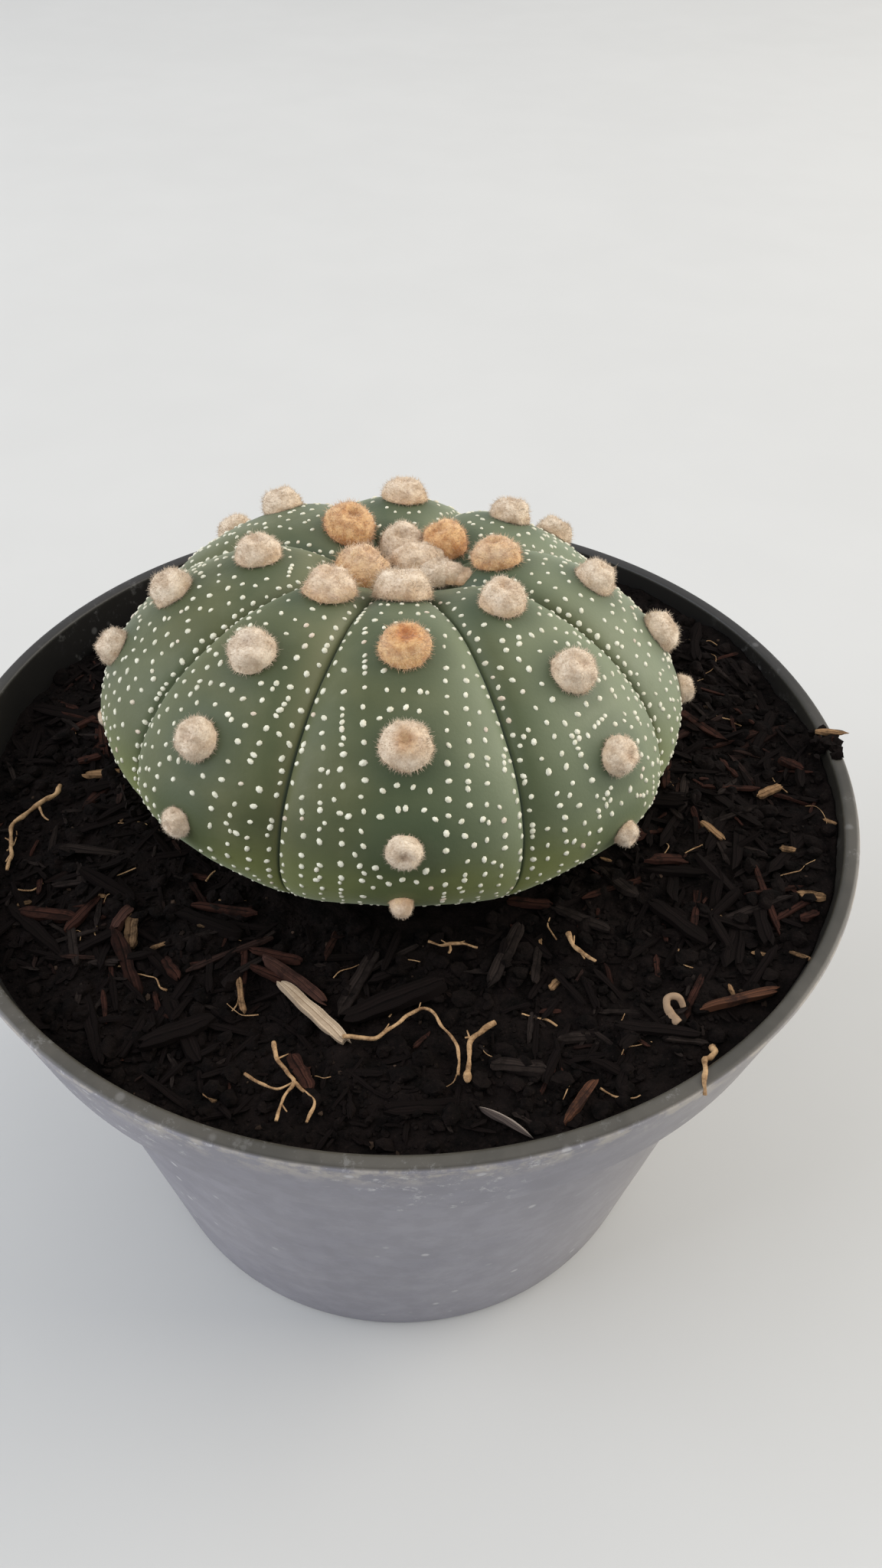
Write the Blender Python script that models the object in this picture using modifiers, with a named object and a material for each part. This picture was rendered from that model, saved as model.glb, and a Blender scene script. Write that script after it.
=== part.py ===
# Potted round cactus: an eight-ribbed star cactus with woolly tufts, in soil, in a plastic nursery pot.
# Units are metres, +Z is up, and the origin is the centre of the pot's underside.
# Azimuths are in degrees, from the front (-Y) towards +X. Latitudes are in degrees on the cactus body.

import math

import bmesh
import bpy
from mathutils import Matrix, Vector

mm = 0.001

# Pot
pot_height = 81.0 * mm
rim_radius = 60.0 * mm
lip_width = 2.0 * mm
collar_height = 14.6 * mm
collar_taper = 2.9 * mm  # how much narrower the collar is at its foot than at the rim
collar_step = 3.9 * mm  # from the collar's foot in to the pot's body
step_height = 1.0 * mm
base_radius = 43.0 * mm
pot_wall = 1.4 * mm
foot_ring_width = 3.0 * mm
foot_ring_height = 2.2 * mm
floor_thickness = 1.6 * mm
drain_hole_radius = 3.5 * mm
drain_circle_radius = 27.0 * mm
drain_holes = 6
pot_steps = 72

# Soil
soil_below_rim = 4.0 * mm
soil_slope = 0.034  # rise of the soil towards +X
soil_steps = 48

# Gap that pieces lying against each other keep
clearance = 0.3 * mm

# Cactus body
cactus_radius = 38.0 * mm
dome_height = 23.8 * mm
underside_depth = 18.8 * mm
low_side_above_soil = 4.23 * mm  # height of the leaning equator at its lowest side
cactus_offset = Vector((-1.2 * mm, 4.8 * mm, 0.0))
cactus_lean = Vector((0.037, 0.131, 1.0))  # direction of the body's axis
crown_dip_depth = 7.1 * mm
crown_dip_radius = 10.6 * mm
furrow_depth = 2.8 * mm
furrow_fade = 3.0 * mm  # the furrows run out within about this distance of the crown
first_furrow = -21.0
segments_per_rib = 10
body_rings = 20

# Each rib: its name, its width in degrees, its first areole's latitude and the spacing of its areoles
ribs = (
    ("front", 45.0, 76.8, 21.0),
    ("front_right", 42.0, 63.8, 20.8),
    ("right", 45.5, 71.1, 20.8),
    ("back_right", 45.5, 77.4, 20.0),
    ("back", 43.0, 80.0, 17.5),
    ("back_left", 54.0, 73.9, 23.0),
    ("left", 48.0, 81.2, 19.5),
    ("front_left", 37.0, 68.5, 21.3),
)
lowest_areole = -10.0

# Wool tufts
tuft_radius = 2.9 * mm
low_tuft_radius = 1.3 * mm
tuft_height_share = 1.35  # height over radius
full_tuft_latitude = 30.0
crown_wool_radius = 1.9 * mm
crown_wool_latitude = 83.4
crown_wool_azimuth = 137.0
tuft_segments = 10
tuft_rings = 6

# Pieces lying on the soil: name, azimuth, share of the way from the cactus to the wall, heading,
# then shift along and across that heading, length, width, thickness and arch in millimetres, and material
chips = (
    ("wood_splinter", -15.1, 0.38, -47.5, 0.0, 0.0, 11.0, 1.9, 0.9, 0.5, "pale_wood"),
    ("bark_shred", -15.1, 0.38, -43.0, -3.2, 3.2, 7.6, 1.7, 0.9, 0.4, "bark"),
    ("red_bark_chip", 20.3, 0.86, 52.0, 0.0, 0.0, 5.4, 1.6, 0.8, 0.3, "red_bark"),
    ("leaf_sliver", 11.4, 0.84, -33.7, 0.0, 0.0, 6.0, 1.5, 0.5, 0.3, "grey_leaf"),
    ("bark_stick", 45.2, 0.84, 13.4, 0.0, 0.0, 7.8, 1.7, 1.1, 0.4, "red_bark"),
    ("curled_chip", 39.0, 0.66, 80.0, 0.0, 0.0, 3.6, 1.5, 0.6, 1.0, "pale_wood"),
    ("left_bark_chip", -54.0, 0.42, 72.0, 0.0, 0.0, 4.0, 1.6, 0.8, 0.3, "bark"),
)

# Rootlets: name, radius in millimetres, and the azimuth and share of the way of each route point
rootlets = (
    ("long_rootlet", 0.36, ((-6.3, 0.47), (-4.3, 0.46), (-1.1, 0.42), (4.2, 0.33), (6.5, 0.40), (6.8, 0.51))),
    ("forked_twig", 0.48, ((8.4, 0.65), (8.5, 0.57), (9.8, 0.51), (14.3, 0.45))),
    ("front_rootlet", 0.34, ((-17.6, 0.57), (-14.0, 0.71), (-11.3, 0.81), (-10.5, 0.74))),
    ("left_rootlet", 0.40, ((-88.4, 0.53), (-84.8, 0.65), (-80.6, 0.77), (-72.9, 0.79))),
    ("right_rootlet", 0.36, ((35.0, 0.21), (34.8, 0.27), (33.7, 0.34))),
    ("neck_rootlet", 0.30, ((6.4, 0.10), (10.3, 0.13), (16.5, 0.14))),
)

# The rootlet that hangs over the rim
rim_rootlet_azimuth = 35.5
rim_rootlet_radius = 0.4 * mm
rim_rootlet_tail = 2.4 * mm

# Colour, roughness of each material
finishes = {
    "pot_plastic": ((0.085, 0.085, 0.095), 0.55),
    "soil": ((0.018, 0.012, 0.009), 0.95),
    "cactus_skin": ((0.085, 0.135, 0.075), 0.60),
    "pale_wool": ((0.62, 0.49, 0.38), 0.95),
    "orange_wool": ((0.66, 0.37, 0.16), 0.95),
    "pale_wood": ((0.55, 0.42, 0.30), 0.85),
    "bark": ((0.09, 0.05, 0.035), 0.90),
    "red_bark": ((0.19, 0.085, 0.05), 0.90),
    "grey_leaf": ((0.17, 0.15, 0.13), 0.85),
    "root": ((0.45, 0.28, 0.14), 0.85),
}


# Derived sizes shared by several pieces

def direction(azimuth):
    turn = math.radians(azimuth)
    return Vector((math.sin(turn), -math.cos(turn), 0.0))


def collar_foot_radius():
    return rim_radius - collar_taper


def body_top_radius():
    return collar_foot_radius() - collar_step


def step_foot_z():
    return pot_height - collar_height - step_height


def floor_top_z():
    return foot_ring_height + floor_thickness


def inner_radius(z):
    """Radius of the pot's inner wall at a height."""
    lip_inner = rim_radius - lip_width
    step_inner = collar_foot_radius() - lip_width
    neck_inner = body_top_radius() - pot_wall
    foot_inner = base_radius - pot_wall
    shoulder = pot_height - collar_height
    if z >= shoulder:
        return step_inner + (lip_inner - step_inner) * (z - shoulder) / collar_height
    if z >= step_foot_z():
        return neck_inner + (step_inner - neck_inner) * (z - step_foot_z()) / step_height
    rise = (z - floor_top_z()) / (step_foot_z() - floor_top_z())
    return foot_inner + (neck_inner - foot_inner) * rise


def soil_height(x):
    return pot_height - soil_below_rim + soil_slope * x


def equator_above_soil():
    """Height of the middle of the leaning equator."""
    return low_side_above_soil + cactus_radius * cactus_lean.xy.length


def equator_above_rim():
    return equator_above_soil() - soil_below_rim


def neck_radius():
    """Radius of the cactus where the soil meets it."""
    return cactus_radius * math.sqrt(1.0 - (equator_above_soil() / underside_depth) ** 2)


def soil_point(azimuth, share):
    """A point of the soil surface, by its share of the way from the cactus to the pot's wall."""
    away = direction(azimuth)
    near = neck_radius() + cactus_offset.dot(away)
    far = inner_radius(pot_height - soil_below_rim) - clearance
    spot = away * (near + share * (far - near))
    spot.z = soil_height(spot.x)
    return spot


# Blender helpers

def clear_scene():
    for old in list(bpy.data.objects):
        bpy.data.objects.remove(old, do_unlink=True)


def new_collection(name):
    group = bpy.data.collections.new(name)
    bpy.context.scene.collection.children.link(group)
    return group


def make_material(name):
    colour, roughness = finishes[name]
    material = bpy.data.materials.new(name)
    material.use_nodes = True
    shader = material.node_tree.nodes["Principled BSDF"]
    shader.inputs["Base Color"].default_value = (*colour, 1.0)
    shader.inputs["Roughness"].default_value = roughness
    shader.inputs["Metallic"].default_value = 0.0
    return material


def add_object(name, data, material, group):
    piece = bpy.data.objects.new(name, data)
    piece.data.materials.append(material)
    group.objects.link(piece)
    return piece


def mesh_from(form, name):
    """Turns a bmesh into a mesh that is shaded smooth."""
    bmesh.ops.recalc_face_normals(form, faces=form.faces)
    mesh = bpy.data.meshes.new(name)
    form.to_mesh(mesh)
    form.free()
    mesh.shade_smooth()
    return mesh


def hide_cutter(cutter):
    cutter.hide_render = True
    cutter.display_type = "WIRE"


def cut(piece, cutter):
    boolean = piece.modifiers.new("cut_" + cutter.name, "BOOLEAN")
    boolean.operation = "DIFFERENCE"
    boolean.solver = "EXACT"
    boolean.object = cutter


def profile_mesh(name, points):
    """An open profile in the XZ plane, as (radius, height) points."""
    mesh = bpy.data.meshes.new(name)
    edges = [(i, i + 1) for i in range(len(points) - 1)]
    mesh.from_pydata([(r, 0.0, z) for r, z in points], edges, [])
    return mesh


def turn_profile(piece, steps):
    screw = piece.modifiers.new("turn", "SCREW")
    screw.axis = "Z"
    screw.steps = steps
    screw.render_steps = steps
    screw.use_merge_vertices = True
    screw.merge_threshold = 0.00001


# Pot

def lip_points():
    """The rounded lip, from the inner wall over to the outer wall."""
    half = lip_width / 2.0
    points = []
    for step in range(7):
        turn = math.pi * (1.0 - step / 6.0)
        points.append((rim_radius - half + half * math.cos(turn), pot_height - half + half * math.sin(turn)))
    return points


def pot_profile():
    """Runs up the inside, over the lip, down the outside and under the floor."""
    foot_inner = base_radius - foot_ring_width
    edge = 0.5 * mm
    points = [(0.0, floor_top_z()), (inner_radius(floor_top_z()), floor_top_z())]
    points += [(inner_radius(step_foot_z()), step_foot_z())]
    points += [(collar_foot_radius() - lip_width, pot_height - collar_height)]
    points += lip_points()
    points += [(collar_foot_radius(), pot_height - collar_height)]
    points += [(collar_foot_radius() - edge, pot_height - collar_height - edge)]
    points += [(body_top_radius(), step_foot_z() - edge)]
    points += [(base_radius, edge), (base_radius - edge, 0.0)]
    points += [(foot_inner + edge, 0.0), (foot_inner, edge), (foot_inner, foot_ring_height)]
    points += [(0.0, foot_ring_height)]
    return points


def drain_cutter(cutters):
    """One cutter with a ring of round plugs through the pot's floor."""
    form = bmesh.new()
    depth = floor_thickness * 3.0
    for hole in range(drain_holes):
        spot = direction(360.0 * hole / drain_holes) * drain_circle_radius
        spot.z = foot_ring_height + floor_thickness / 2.0
        bmesh.ops.create_cone(
            form,
            cap_ends=True,
            segments=20,
            radius1=drain_hole_radius,
            radius2=drain_hole_radius,
            depth=depth,
            matrix=Matrix.Translation(spot),
        )
    cutter = bpy.data.objects.new("drain_plugs", mesh_from(form, "drain_plugs"))
    cutters.objects.link(cutter)
    hide_cutter(cutter)
    return cutter


def build_pot(group, cutters, materials):
    pot = add_object("pot", profile_mesh("pot", pot_profile()), materials["pot_plastic"], group)
    turn_profile(pot, pot_steps)
    cut(pot, drain_cutter(cutters))


# Cactus body

def rib_at(place):
    """Azimuth of the place along the ribs, and how far across its rib it lies, from -1 to 1."""
    index = int(math.floor(place)) % len(ribs)
    across = place - math.floor(place)
    start = first_furrow + sum(rib[1] for rib in ribs[:index])
    return start + ribs[index][1] * across, 2.0 * across - 1.0


def crease(across):
    """0 on a rib's crest and 1 in its furrow: a plump rib with a sharp furrow."""
    return 1.0 - (1.0 - abs(across) ** 2.2) ** 0.55


def cactus_frame():
    """Moves a point of the upright cactus to its leaning place in the pot."""
    up = cactus_lean.normalized()
    side = Vector((1.0, 0.0, 0.0))
    side = (side - up * side.dot(up)).normalized()
    turn = Matrix((side, up.cross(side), up)).transposed().to_4x4()
    middle = cactus_offset + Vector((0.0, 0.0, pot_height))
    return Matrix.Translation(middle) @ turn


def cactus_point(latitude, place):
    """Surface of the upright cactus, about its own axis, with z counted from the rim."""
    azimuth, across = rib_at(place)
    cosine = math.cos(latitude)
    sine = math.sin(latitude)
    tall = dome_height if sine > 0.0 else underside_depth
    radius = cactus_radius * cosine
    height = tall * sine - crown_dip_depth * math.exp(-((radius / crown_dip_radius) ** 2))
    inward = Vector((cosine / cactus_radius, sine / tall)).normalized()
    inset = furrow_depth * crease(across) * radius / (radius + furrow_fade)
    spot = direction(azimuth) * (radius - inward.x * inset)
    spot.z = equator_above_rim() + height - inward.y * inset
    return spot


def cactus_bmesh():
    """A sphere whose points are moved onto the ribbed body."""
    form = bmesh.new()
    around = segments_per_rib * len(ribs)
    bmesh.ops.create_uvsphere(form, u_segments=around, v_segments=body_rings, radius=1.0)
    place_in_pot = cactus_frame()
    for vert in form.verts:
        latitude = math.asin(max(-1.0, min(1.0, vert.co.z)))
        turn = math.atan2(vert.co.x, -vert.co.y) / math.tau
        place = round((turn % 1.0) * around) / segments_per_rib
        vert.co = place_in_pot @ cactus_point(latitude, place)
    return form


def build_cactus(group, materials):
    mesh = mesh_from(cactus_bmesh(), "cactus_body")
    return add_object("cactus_body", mesh, materials["cactus_skin"], group)


def pocket_cutter(cutters):
    """The body grown by the clearance, which shapes the soil's pocket."""
    form = cactus_bmesh()
    form.normal_update()
    moves = [(vert, vert.normal.copy()) for vert in form.verts]
    middle = cactus_frame() @ Vector((0.0, 0.0, 0.0))
    for vert, normal in moves:
        outward = 1.0 if normal.dot(vert.co - middle) >= 0.0 else -1.0
        vert.co += normal * outward * clearance
    cutter = bpy.data.objects.new("soil_pocket", mesh_from(form, "soil_pocket"))
    cutters.objects.link(cutter)
    hide_cutter(cutter)
    return cutter


# Soil

def soil_bmesh():
    """Fills the pot from its floor to the sloping surface, a clearance inside the wall."""
    top = pot_height - soil_below_rim
    shoulder = pot_height - collar_height
    low = floor_top_z() + clearance
    outline = [(0.0, top), (inner_radius(top) - clearance, top)]
    outline += [(inner_radius(z) - clearance, z + clearance) for z in (shoulder, step_foot_z())]
    outline += [(inner_radius(low) - clearance, low), (0.0, low)]
    form = bmesh.new()
    verts = [form.verts.new((r, 0.0, z)) for r, z in outline]
    edges = [form.edges.new(pair) for pair in zip(verts, verts[1:])]
    bmesh.ops.spin(
        form,
        geom=verts + edges,
        cent=(0.0, 0.0, 0.0),
        axis=(0.0, 0.0, 1.0),
        angle=math.tau,
        steps=soil_steps,
        use_merge=True,
    )
    bmesh.ops.remove_doubles(form, verts=form.verts, dist=0.01 * mm)
    for vert in form.verts:
        if vert.co.z > shoulder + 2.0 * clearance:
            vert.co.z = soil_height(vert.co.x)
    return form


def build_soil(group, cutters, materials):
    soil = add_object("soil", mesh_from(soil_bmesh(), "soil"), materials["soil"], group)
    cut(soil, pocket_cutter(cutters))


# Wool tufts

def areoles():
    """Name, latitude and place along the ribs of every tuft on a rib's crest."""
    found = []
    for index, (name, width, first, spacing) in enumerate(ribs):
        latitude = first
        number = 1
        while latitude >= lowest_areole:
            found.append((f"tuft_{name}_{number}", latitude, index + 0.5))
            latitude -= spacing
            number += 1
    return found


def place_of(azimuth):
    """Place along the ribs of an azimuth."""
    past = (azimuth - first_furrow) % 360.0
    for index, rib in enumerate(ribs):
        if past <= rib[1]:
            return index + past / rib[1]
        past -= rib[1]
    return float(len(ribs))


def nominal_radius(latitude):
    """Tufts are full on the dome and small near the soil."""
    share = (latitude - lowest_areole) / (full_tuft_latitude - lowest_areole)
    share = max(0.0, min(1.0, share))
    return low_tuft_radius + (tuft_radius - low_tuft_radius) * share


def surface_frame(latitude, place):
    """Point and outward normal of the leaning body's rib crests."""
    step = math.radians(0.5)
    turn = math.radians(latitude)
    here = cactus_point(turn, place)
    up_slope = cactus_point(turn + step, place) - cactus_point(turn - step, place)
    azimuth = rib_at(place)[0]
    sideways = direction(azimuth + 90.0)
    normal = sideways.cross(up_slope).normalized()
    move = cactus_frame()
    return move @ here, (move.to_3x3() @ normal).normalized()


def packed_radii(seats):
    """Shrinks tufts that would press into a neighbour."""
    radii = []
    for name, spot, normal, radius in seats:
        share = 1.0
        for other, other_spot, other_normal, other_radius in seats:
            gap = (spot - other_spot).length - 2.0 * clearance
            if other != name:
                share = min(share, gap / (radius + other_radius))
        radii.append(radius * share)
    return radii


def seat_lift(body, spot, normal, radius):
    """How far a flat-bottomed tuft stands off the body so that the body clears it."""
    highest = 0.0
    for vert in body.data.vertices:
        away = vert.co - spot
        rise = away.dot(normal)
        if (away - normal * rise).length < radius * 1.3 and abs(rise) < radius:
            highest = max(highest, rise)
    return highest + clearance


def tuft_mesh(name, radius):
    """A dome with a nearly flat underside."""
    form = bmesh.new()
    bmesh.ops.create_uvsphere(form, u_segments=tuft_segments, v_segments=tuft_rings, radius=radius)
    for vert in form.verts:
        if vert.co.z < 0.0:
            vert.co.z *= 0.2
        else:
            vert.co.z *= tuft_height_share - 0.2
    bmesh.ops.translate(form, verts=form.verts, vec=(0.0, 0.0, 0.2 * radius))
    return mesh_from(form, name)


def build_tufts(group, body, materials):
    seats = []
    for name, latitude, place in areoles():
        spot, normal = surface_frame(latitude, place)
        seats.append((name, spot, normal, nominal_radius(latitude)))
    spot, normal = surface_frame(crown_wool_latitude, place_of(crown_wool_azimuth))
    seats.append(("crown_wool", spot, normal, crown_wool_radius))
    for (name, spot, normal, _), radius in zip(seats, packed_radii(seats)):
        finish = "orange_wool" if name.endswith("_1") else "pale_wool"
        tuft = add_object(name, tuft_mesh(name, radius), materials[finish], group)
        tuft.location = spot + normal * seat_lift(body, spot, normal, radius)
        tuft.rotation_euler = normal.to_track_quat("Z", "Y").to_euler()


# Chips and rootlets on the soil

def soil_tilt():
    return Matrix.Rotation(-math.atan(soil_slope), 4, "Y")


def chip_mesh(name, length, width, thickness, arch):
    """A tapered plank that rises in the middle."""
    form = bmesh.new()
    bmesh.ops.create_cube(form, size=1.0)
    long_edges = [edge for edge in form.edges if abs(edge.verts[0].co.x - edge.verts[1].co.x) > 0.5]
    bmesh.ops.subdivide_edges(form, edges=long_edges, cuts=5, use_grid_fill=True)
    for vert in form.verts:
        along = 2.0 * vert.co.x
        taper = 1.0 - 0.45 * along * along
        rise = arch * (1.0 - along * along)
        height = (vert.co.z + 0.5) * thickness * (0.6 + 0.4 * taper)
        vert.co = Vector((vert.co.x * length, vert.co.y * width * taper, height + rise))
    return mesh_from(form, name)


def build_chips(group, materials):
    for name, azimuth, share, heading, along, across, length, width, thickness, arch, finish in chips:
        mesh = chip_mesh(name, length * mm, width * mm, thickness * mm, arch * mm)
        chip = add_object(name, mesh, materials[finish], group)
        shift = Matrix.Translation((along * mm, across * mm, clearance * 1.1))
        turn = Matrix.Rotation(math.radians(heading), 4, "Z")
        chip.matrix_world = Matrix.Translation(soil_point(azimuth, share)) @ soil_tilt() @ turn @ shift


def tube(name, route, radius, material, group):
    """A thin root along smooth points."""
    curve = bpy.data.curves.new(name, "CURVE")
    curve.dimensions = "3D"
    curve.bevel_depth = radius
    curve.bevel_resolution = 1
    curve.use_fill_caps = True
    curve.resolution_u = 3
    spline = curve.splines.new("NURBS")
    spline.points.add(len(route) - 1)
    for point, spot in zip(spline.points, route):
        point.co = (*spot, 1.0)
    spline.order_u = 3
    spline.use_endpoint_u = True
    add_object(name, curve, material, group)


def build_rootlets(group, materials):
    for name, radius, route in rootlets:
        lift = Vector((0.0, 0.0, radius * mm + clearance))
        spots = [soil_point(azimuth, share) + lift for azimuth, share in route]
        tube(name, spots, radius * mm, materials["root"], group)


def build_rim_rootlet(group, materials):
    """Comes up from the soil, crosses the lip and hangs a little way down outside."""
    away = direction(rim_rootlet_azimuth)
    gap = rim_rootlet_radius + clearance * 1.5
    inside = rim_radius - lip_width - gap
    ground = soil_height(away.x * inside) + gap
    crest = pot_height + gap
    outside = rim_radius + gap
    stops = ((inside - 3.0 * mm, ground), (inside - 1.2 * mm, ground), (inside - 0.4 * mm, crest))
    stops += ((inside + 0.3 * mm, crest + gap), (rim_radius - lip_width / 2.0, crest + gap))
    stops += ((outside - 0.3 * mm, crest + gap), (outside + 0.4 * mm, crest))
    stops += ((outside, pot_height - rim_rootlet_tail),)
    route = [away * reach + Vector((0.0, 0.0, z)) for reach, z in stops]
    tube("rim_rootlet", route, rim_rootlet_radius, materials["root"], group)


def main():
    clear_scene()
    group = new_collection("potted_round_cactus")
    cutters = new_collection("cutters")
    materials = {name: make_material(name) for name in finishes}
    build_pot(group, cutters, materials)
    build_soil(group, cutters, materials)
    body = build_cactus(group, materials)
    build_tufts(group, body, materials)
    build_chips(group, materials)
    build_rootlets(group, materials)
    build_rim_rootlet(group, materials)


main()
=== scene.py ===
import math
import random

import bmesh
import bpy
from mathutils import Matrix, Vector, kdtree, noise
from mathutils.bvhtree import BVHTree


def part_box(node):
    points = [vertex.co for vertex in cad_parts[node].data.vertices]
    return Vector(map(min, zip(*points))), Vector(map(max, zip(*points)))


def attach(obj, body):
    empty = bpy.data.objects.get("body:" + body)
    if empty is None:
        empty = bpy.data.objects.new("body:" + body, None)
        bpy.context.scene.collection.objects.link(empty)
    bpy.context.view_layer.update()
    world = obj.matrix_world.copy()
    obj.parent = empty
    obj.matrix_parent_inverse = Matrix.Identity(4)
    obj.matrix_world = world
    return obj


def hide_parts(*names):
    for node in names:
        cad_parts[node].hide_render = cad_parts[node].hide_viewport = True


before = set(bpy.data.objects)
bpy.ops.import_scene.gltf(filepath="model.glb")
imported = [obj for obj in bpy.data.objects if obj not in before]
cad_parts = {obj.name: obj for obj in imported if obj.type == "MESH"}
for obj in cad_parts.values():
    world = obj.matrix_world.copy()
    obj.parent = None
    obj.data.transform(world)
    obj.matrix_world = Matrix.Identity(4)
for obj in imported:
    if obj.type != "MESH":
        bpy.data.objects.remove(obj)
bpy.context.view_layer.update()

mm = 0.001

# places that everything else is worked out from
potLow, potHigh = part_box("pot")
rimRadius = (potHigh.x - potLow.x) / 2
rimHeight = potHigh.z


# small helpers

def direction(azimuth):
    # from the front (-Y) towards +X, in degrees
    turn = math.radians(azimuth)
    return Vector((math.sin(turn), -math.cos(turn), 0.0))


def blendTo(low, high, share):
    return low + (high - low) * share


def smoothStep(low, high, value):
    share = max(0.0, min(1.0, (value - low) / (high - low)))
    return share * share * (3.0 - 2.0 * share)


def wobble(spot, size, seed=0.0):
    # smooth noise about as coarse as size, from -1 to 1
    return noise.noise(Vector(spot) / size + Vector((seed, seed * 1.7, -seed)))


def formMesh(name, form):
    # turns a form into a mesh and frees it
    mesh = bpy.data.meshes.new(name)
    form.to_mesh(mesh)
    form.free()
    return mesh


def addObject(name, data):
    thing = bpy.data.objects.new(name, data)
    bpy.context.scene.collection.objects.link(thing)
    return thing


def evaluatedMesh(thing):
    bpy.context.view_layer.update()
    return bpy.data.meshes.new_from_object(thing.evaluated_get(bpy.context.evaluated_depsgraph_get()))


def finishPiece(name, form, material, replaced=(), angle=None):
    mesh = formMesh(name, form)
    mesh.shade_smooth()
    if angle is not None:
        mesh.set_sharp_from_angle(angle=math.radians(angle))
    mesh.materials.append(material)
    piece = addObject(name, mesh)
    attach(piece, "root")
    if replaced:
        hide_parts(*replaced)
    return piece


# forms pass through this mesh on their way into others
carrier = bpy.data.meshes.new("carrier")


def pourInto(target, form):
    # adds one form to another and frees it
    form.to_mesh(carrier)
    form.free()
    target.from_mesh(carrier)


def appendForm(target, template, matrix):
    # adds a moved copy of one form to another
    copy = template.copy()
    bmesh.ops.transform(copy, matrix=matrix, verts=copy.verts)
    pourInto(target, copy)


def placing(spot, normal, turn, size=(1.0, 1.0, 1.0)):
    # scales a piece, stands its +Z along the normal, turned about it, and moves it to the spot
    tilt = Vector((0.0, 0.0, 1.0)).rotation_difference(normal).to_matrix().to_4x4()
    return Matrix.Translation(spot) @ (tilt @ Matrix.Rotation(turn, 4, "Z")) @ Matrix.Diagonal((*size, 1.0))


def leaning(dice, amount):
    # a direction that is nearly upright
    return Vector((dice.gauss(0, amount), dice.gauss(0, amount), 1.0)).normalized()


def fromAxis(spot):
    return math.hypot(spot.x, spot.y)


def addMarks(form, *names):
    # values that a form's points keep, for the materials to read
    for name in names:
        form.verts.layers.float.new(name)
    return [form.verts.layers.float[name] for name in names]


def markedForm(*names):
    form = bmesh.new()
    addMarks(form, *names)
    return form


def setTone(form, tone):
    mark = form.verts.layers.float["tone"]
    for vert in form.verts:
        vert[mark] = tone


# camera, floor and light

cameraPlace = {
    "back": 1.943,  # from the pot's axis towards the viewer, in rim radii
    "rise": 1.790,  # above the rim, in rim radii
    "turn": 0.045,  # in radians, as the pitch and the roll
    "pitch": 0.768,
    "roll": 0.032,
    "lens": 27.07,
}


def makeCamera():
    turn, pitch, roll = cameraPlace["turn"], cameraPlace["pitch"], cameraPlace["roll"]
    ahead = Vector((math.sin(turn) * math.cos(pitch), math.cos(turn) * math.cos(pitch), -math.sin(pitch)))
    level = Vector((math.cos(turn), -math.sin(turn), 0.0))
    upright = level.cross(ahead)
    right = level * math.cos(roll) + upright * math.sin(roll)
    up = upright * math.cos(roll) - level * math.sin(roll)
    data = bpy.data.cameras.new("camera")
    data.lens = cameraPlace["lens"]
    data.clip_start = 0.01
    data.clip_end = 20.0
    camera = addObject("camera", data)
    place = Matrix((right, up, -ahead)).transposed().to_4x4()
    height = rimHeight + cameraPlace["rise"] * rimRadius
    place.translation = Vector((0.0, -cameraPlace["back"] * rimRadius, height))
    camera.matrix_world = place
    bpy.context.scene.camera = camera


lightPlan = {
    "floorColour": (0.60, 0.60, 0.585),
    "floorHalf": 3.0,
    "worldColour": (0.94, 0.96, 1.0),
    "worldStrength": 0.69,
    "key": {"spot": (1.62, 0.36, 0.88), "size": 1.4, "power": 26.0, "colour": (1.0, 0.93, 0.82)},
    "fill": {"spot": (-1.60, -0.15, 0.95), "size": 1.4, "power": 20.0, "colour": (0.88, 0.92, 1.0)},
    "top": {"spot": (0.0, 0.30, 1.30), "size": 1.1, "power": 2.6, "colour": (1.0, 0.99, 0.96)},
}


def makeArea(name, plan):
    data = bpy.data.lights.new(name, "AREA")
    data.shape = "SQUARE"
    data.size = plan["size"]
    data.energy = plan["power"]
    data.color = plan["colour"]
    lamp = addObject(name, data)
    spot = Vector(plan["spot"])
    aim = Vector((0.0, 0.0, rimHeight)) - spot
    lamp.matrix_world = Matrix.Translation(spot) @ aim.to_track_quat("-Z", "Y").to_matrix().to_4x4()


def makeStage():
    form = bmesh.new()
    bmesh.ops.create_grid(form, x_segments=1, y_segments=1, size=lightPlan["floorHalf"])
    floor = addObject("floor", formMesh("floor", form))
    floor.data.materials.append(floorMaterial())
    for name in ("key", "fill", "top"):
        makeArea(name + "Light", lightPlan[name])
    world = bpy.data.worlds.new("softRoom")
    world.use_nodes = True
    backdrop = world.node_tree.nodes["Background"]
    backdrop.inputs["Color"].default_value = (*lightPlan["worldColour"], 1.0)
    backdrop.inputs["Strength"].default_value = lightPlan["worldStrength"]
    bpy.context.scene.world = world
    bpy.context.scene.view_settings.view_transform = "Standard"


# material helpers

def setInputs(tree, node, inputs):
    # an input given as a socket is linked, any other value is set
    for key, value in inputs.items():
        socket = node.inputs[key]
        if isinstance(value, bpy.types.NodeSocket):
            tree.links.new(value, socket)
        elif socket.type == "RGBA":
            socket.default_value = (*value, 1.0)
        else:
            socket.default_value = value
    return node


def addNode(tree, kind, inputs, **settings):
    node = tree.nodes.new("ShaderNode" + kind)
    for key, value in settings.items():
        setattr(node, key, value)
    return setInputs(tree, node, inputs)


def startMaterial(name, roughness, specular):
    material = bpy.data.materials.new(name)
    material.use_nodes = True
    tree = material.node_tree
    setInputs(tree, tree.nodes["Principled BSDF"], {"Roughness": roughness, "Specular IOR Level": specular})
    return material, tree, addNode(tree, "TexCoord", {}).outputs["Object"]


def dressed(material, inputs):
    # sets or links the shader's own inputs
    tree = material.node_tree
    setInputs(tree, tree.nodes["Principled BSDF"], inputs)
    return material


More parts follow.
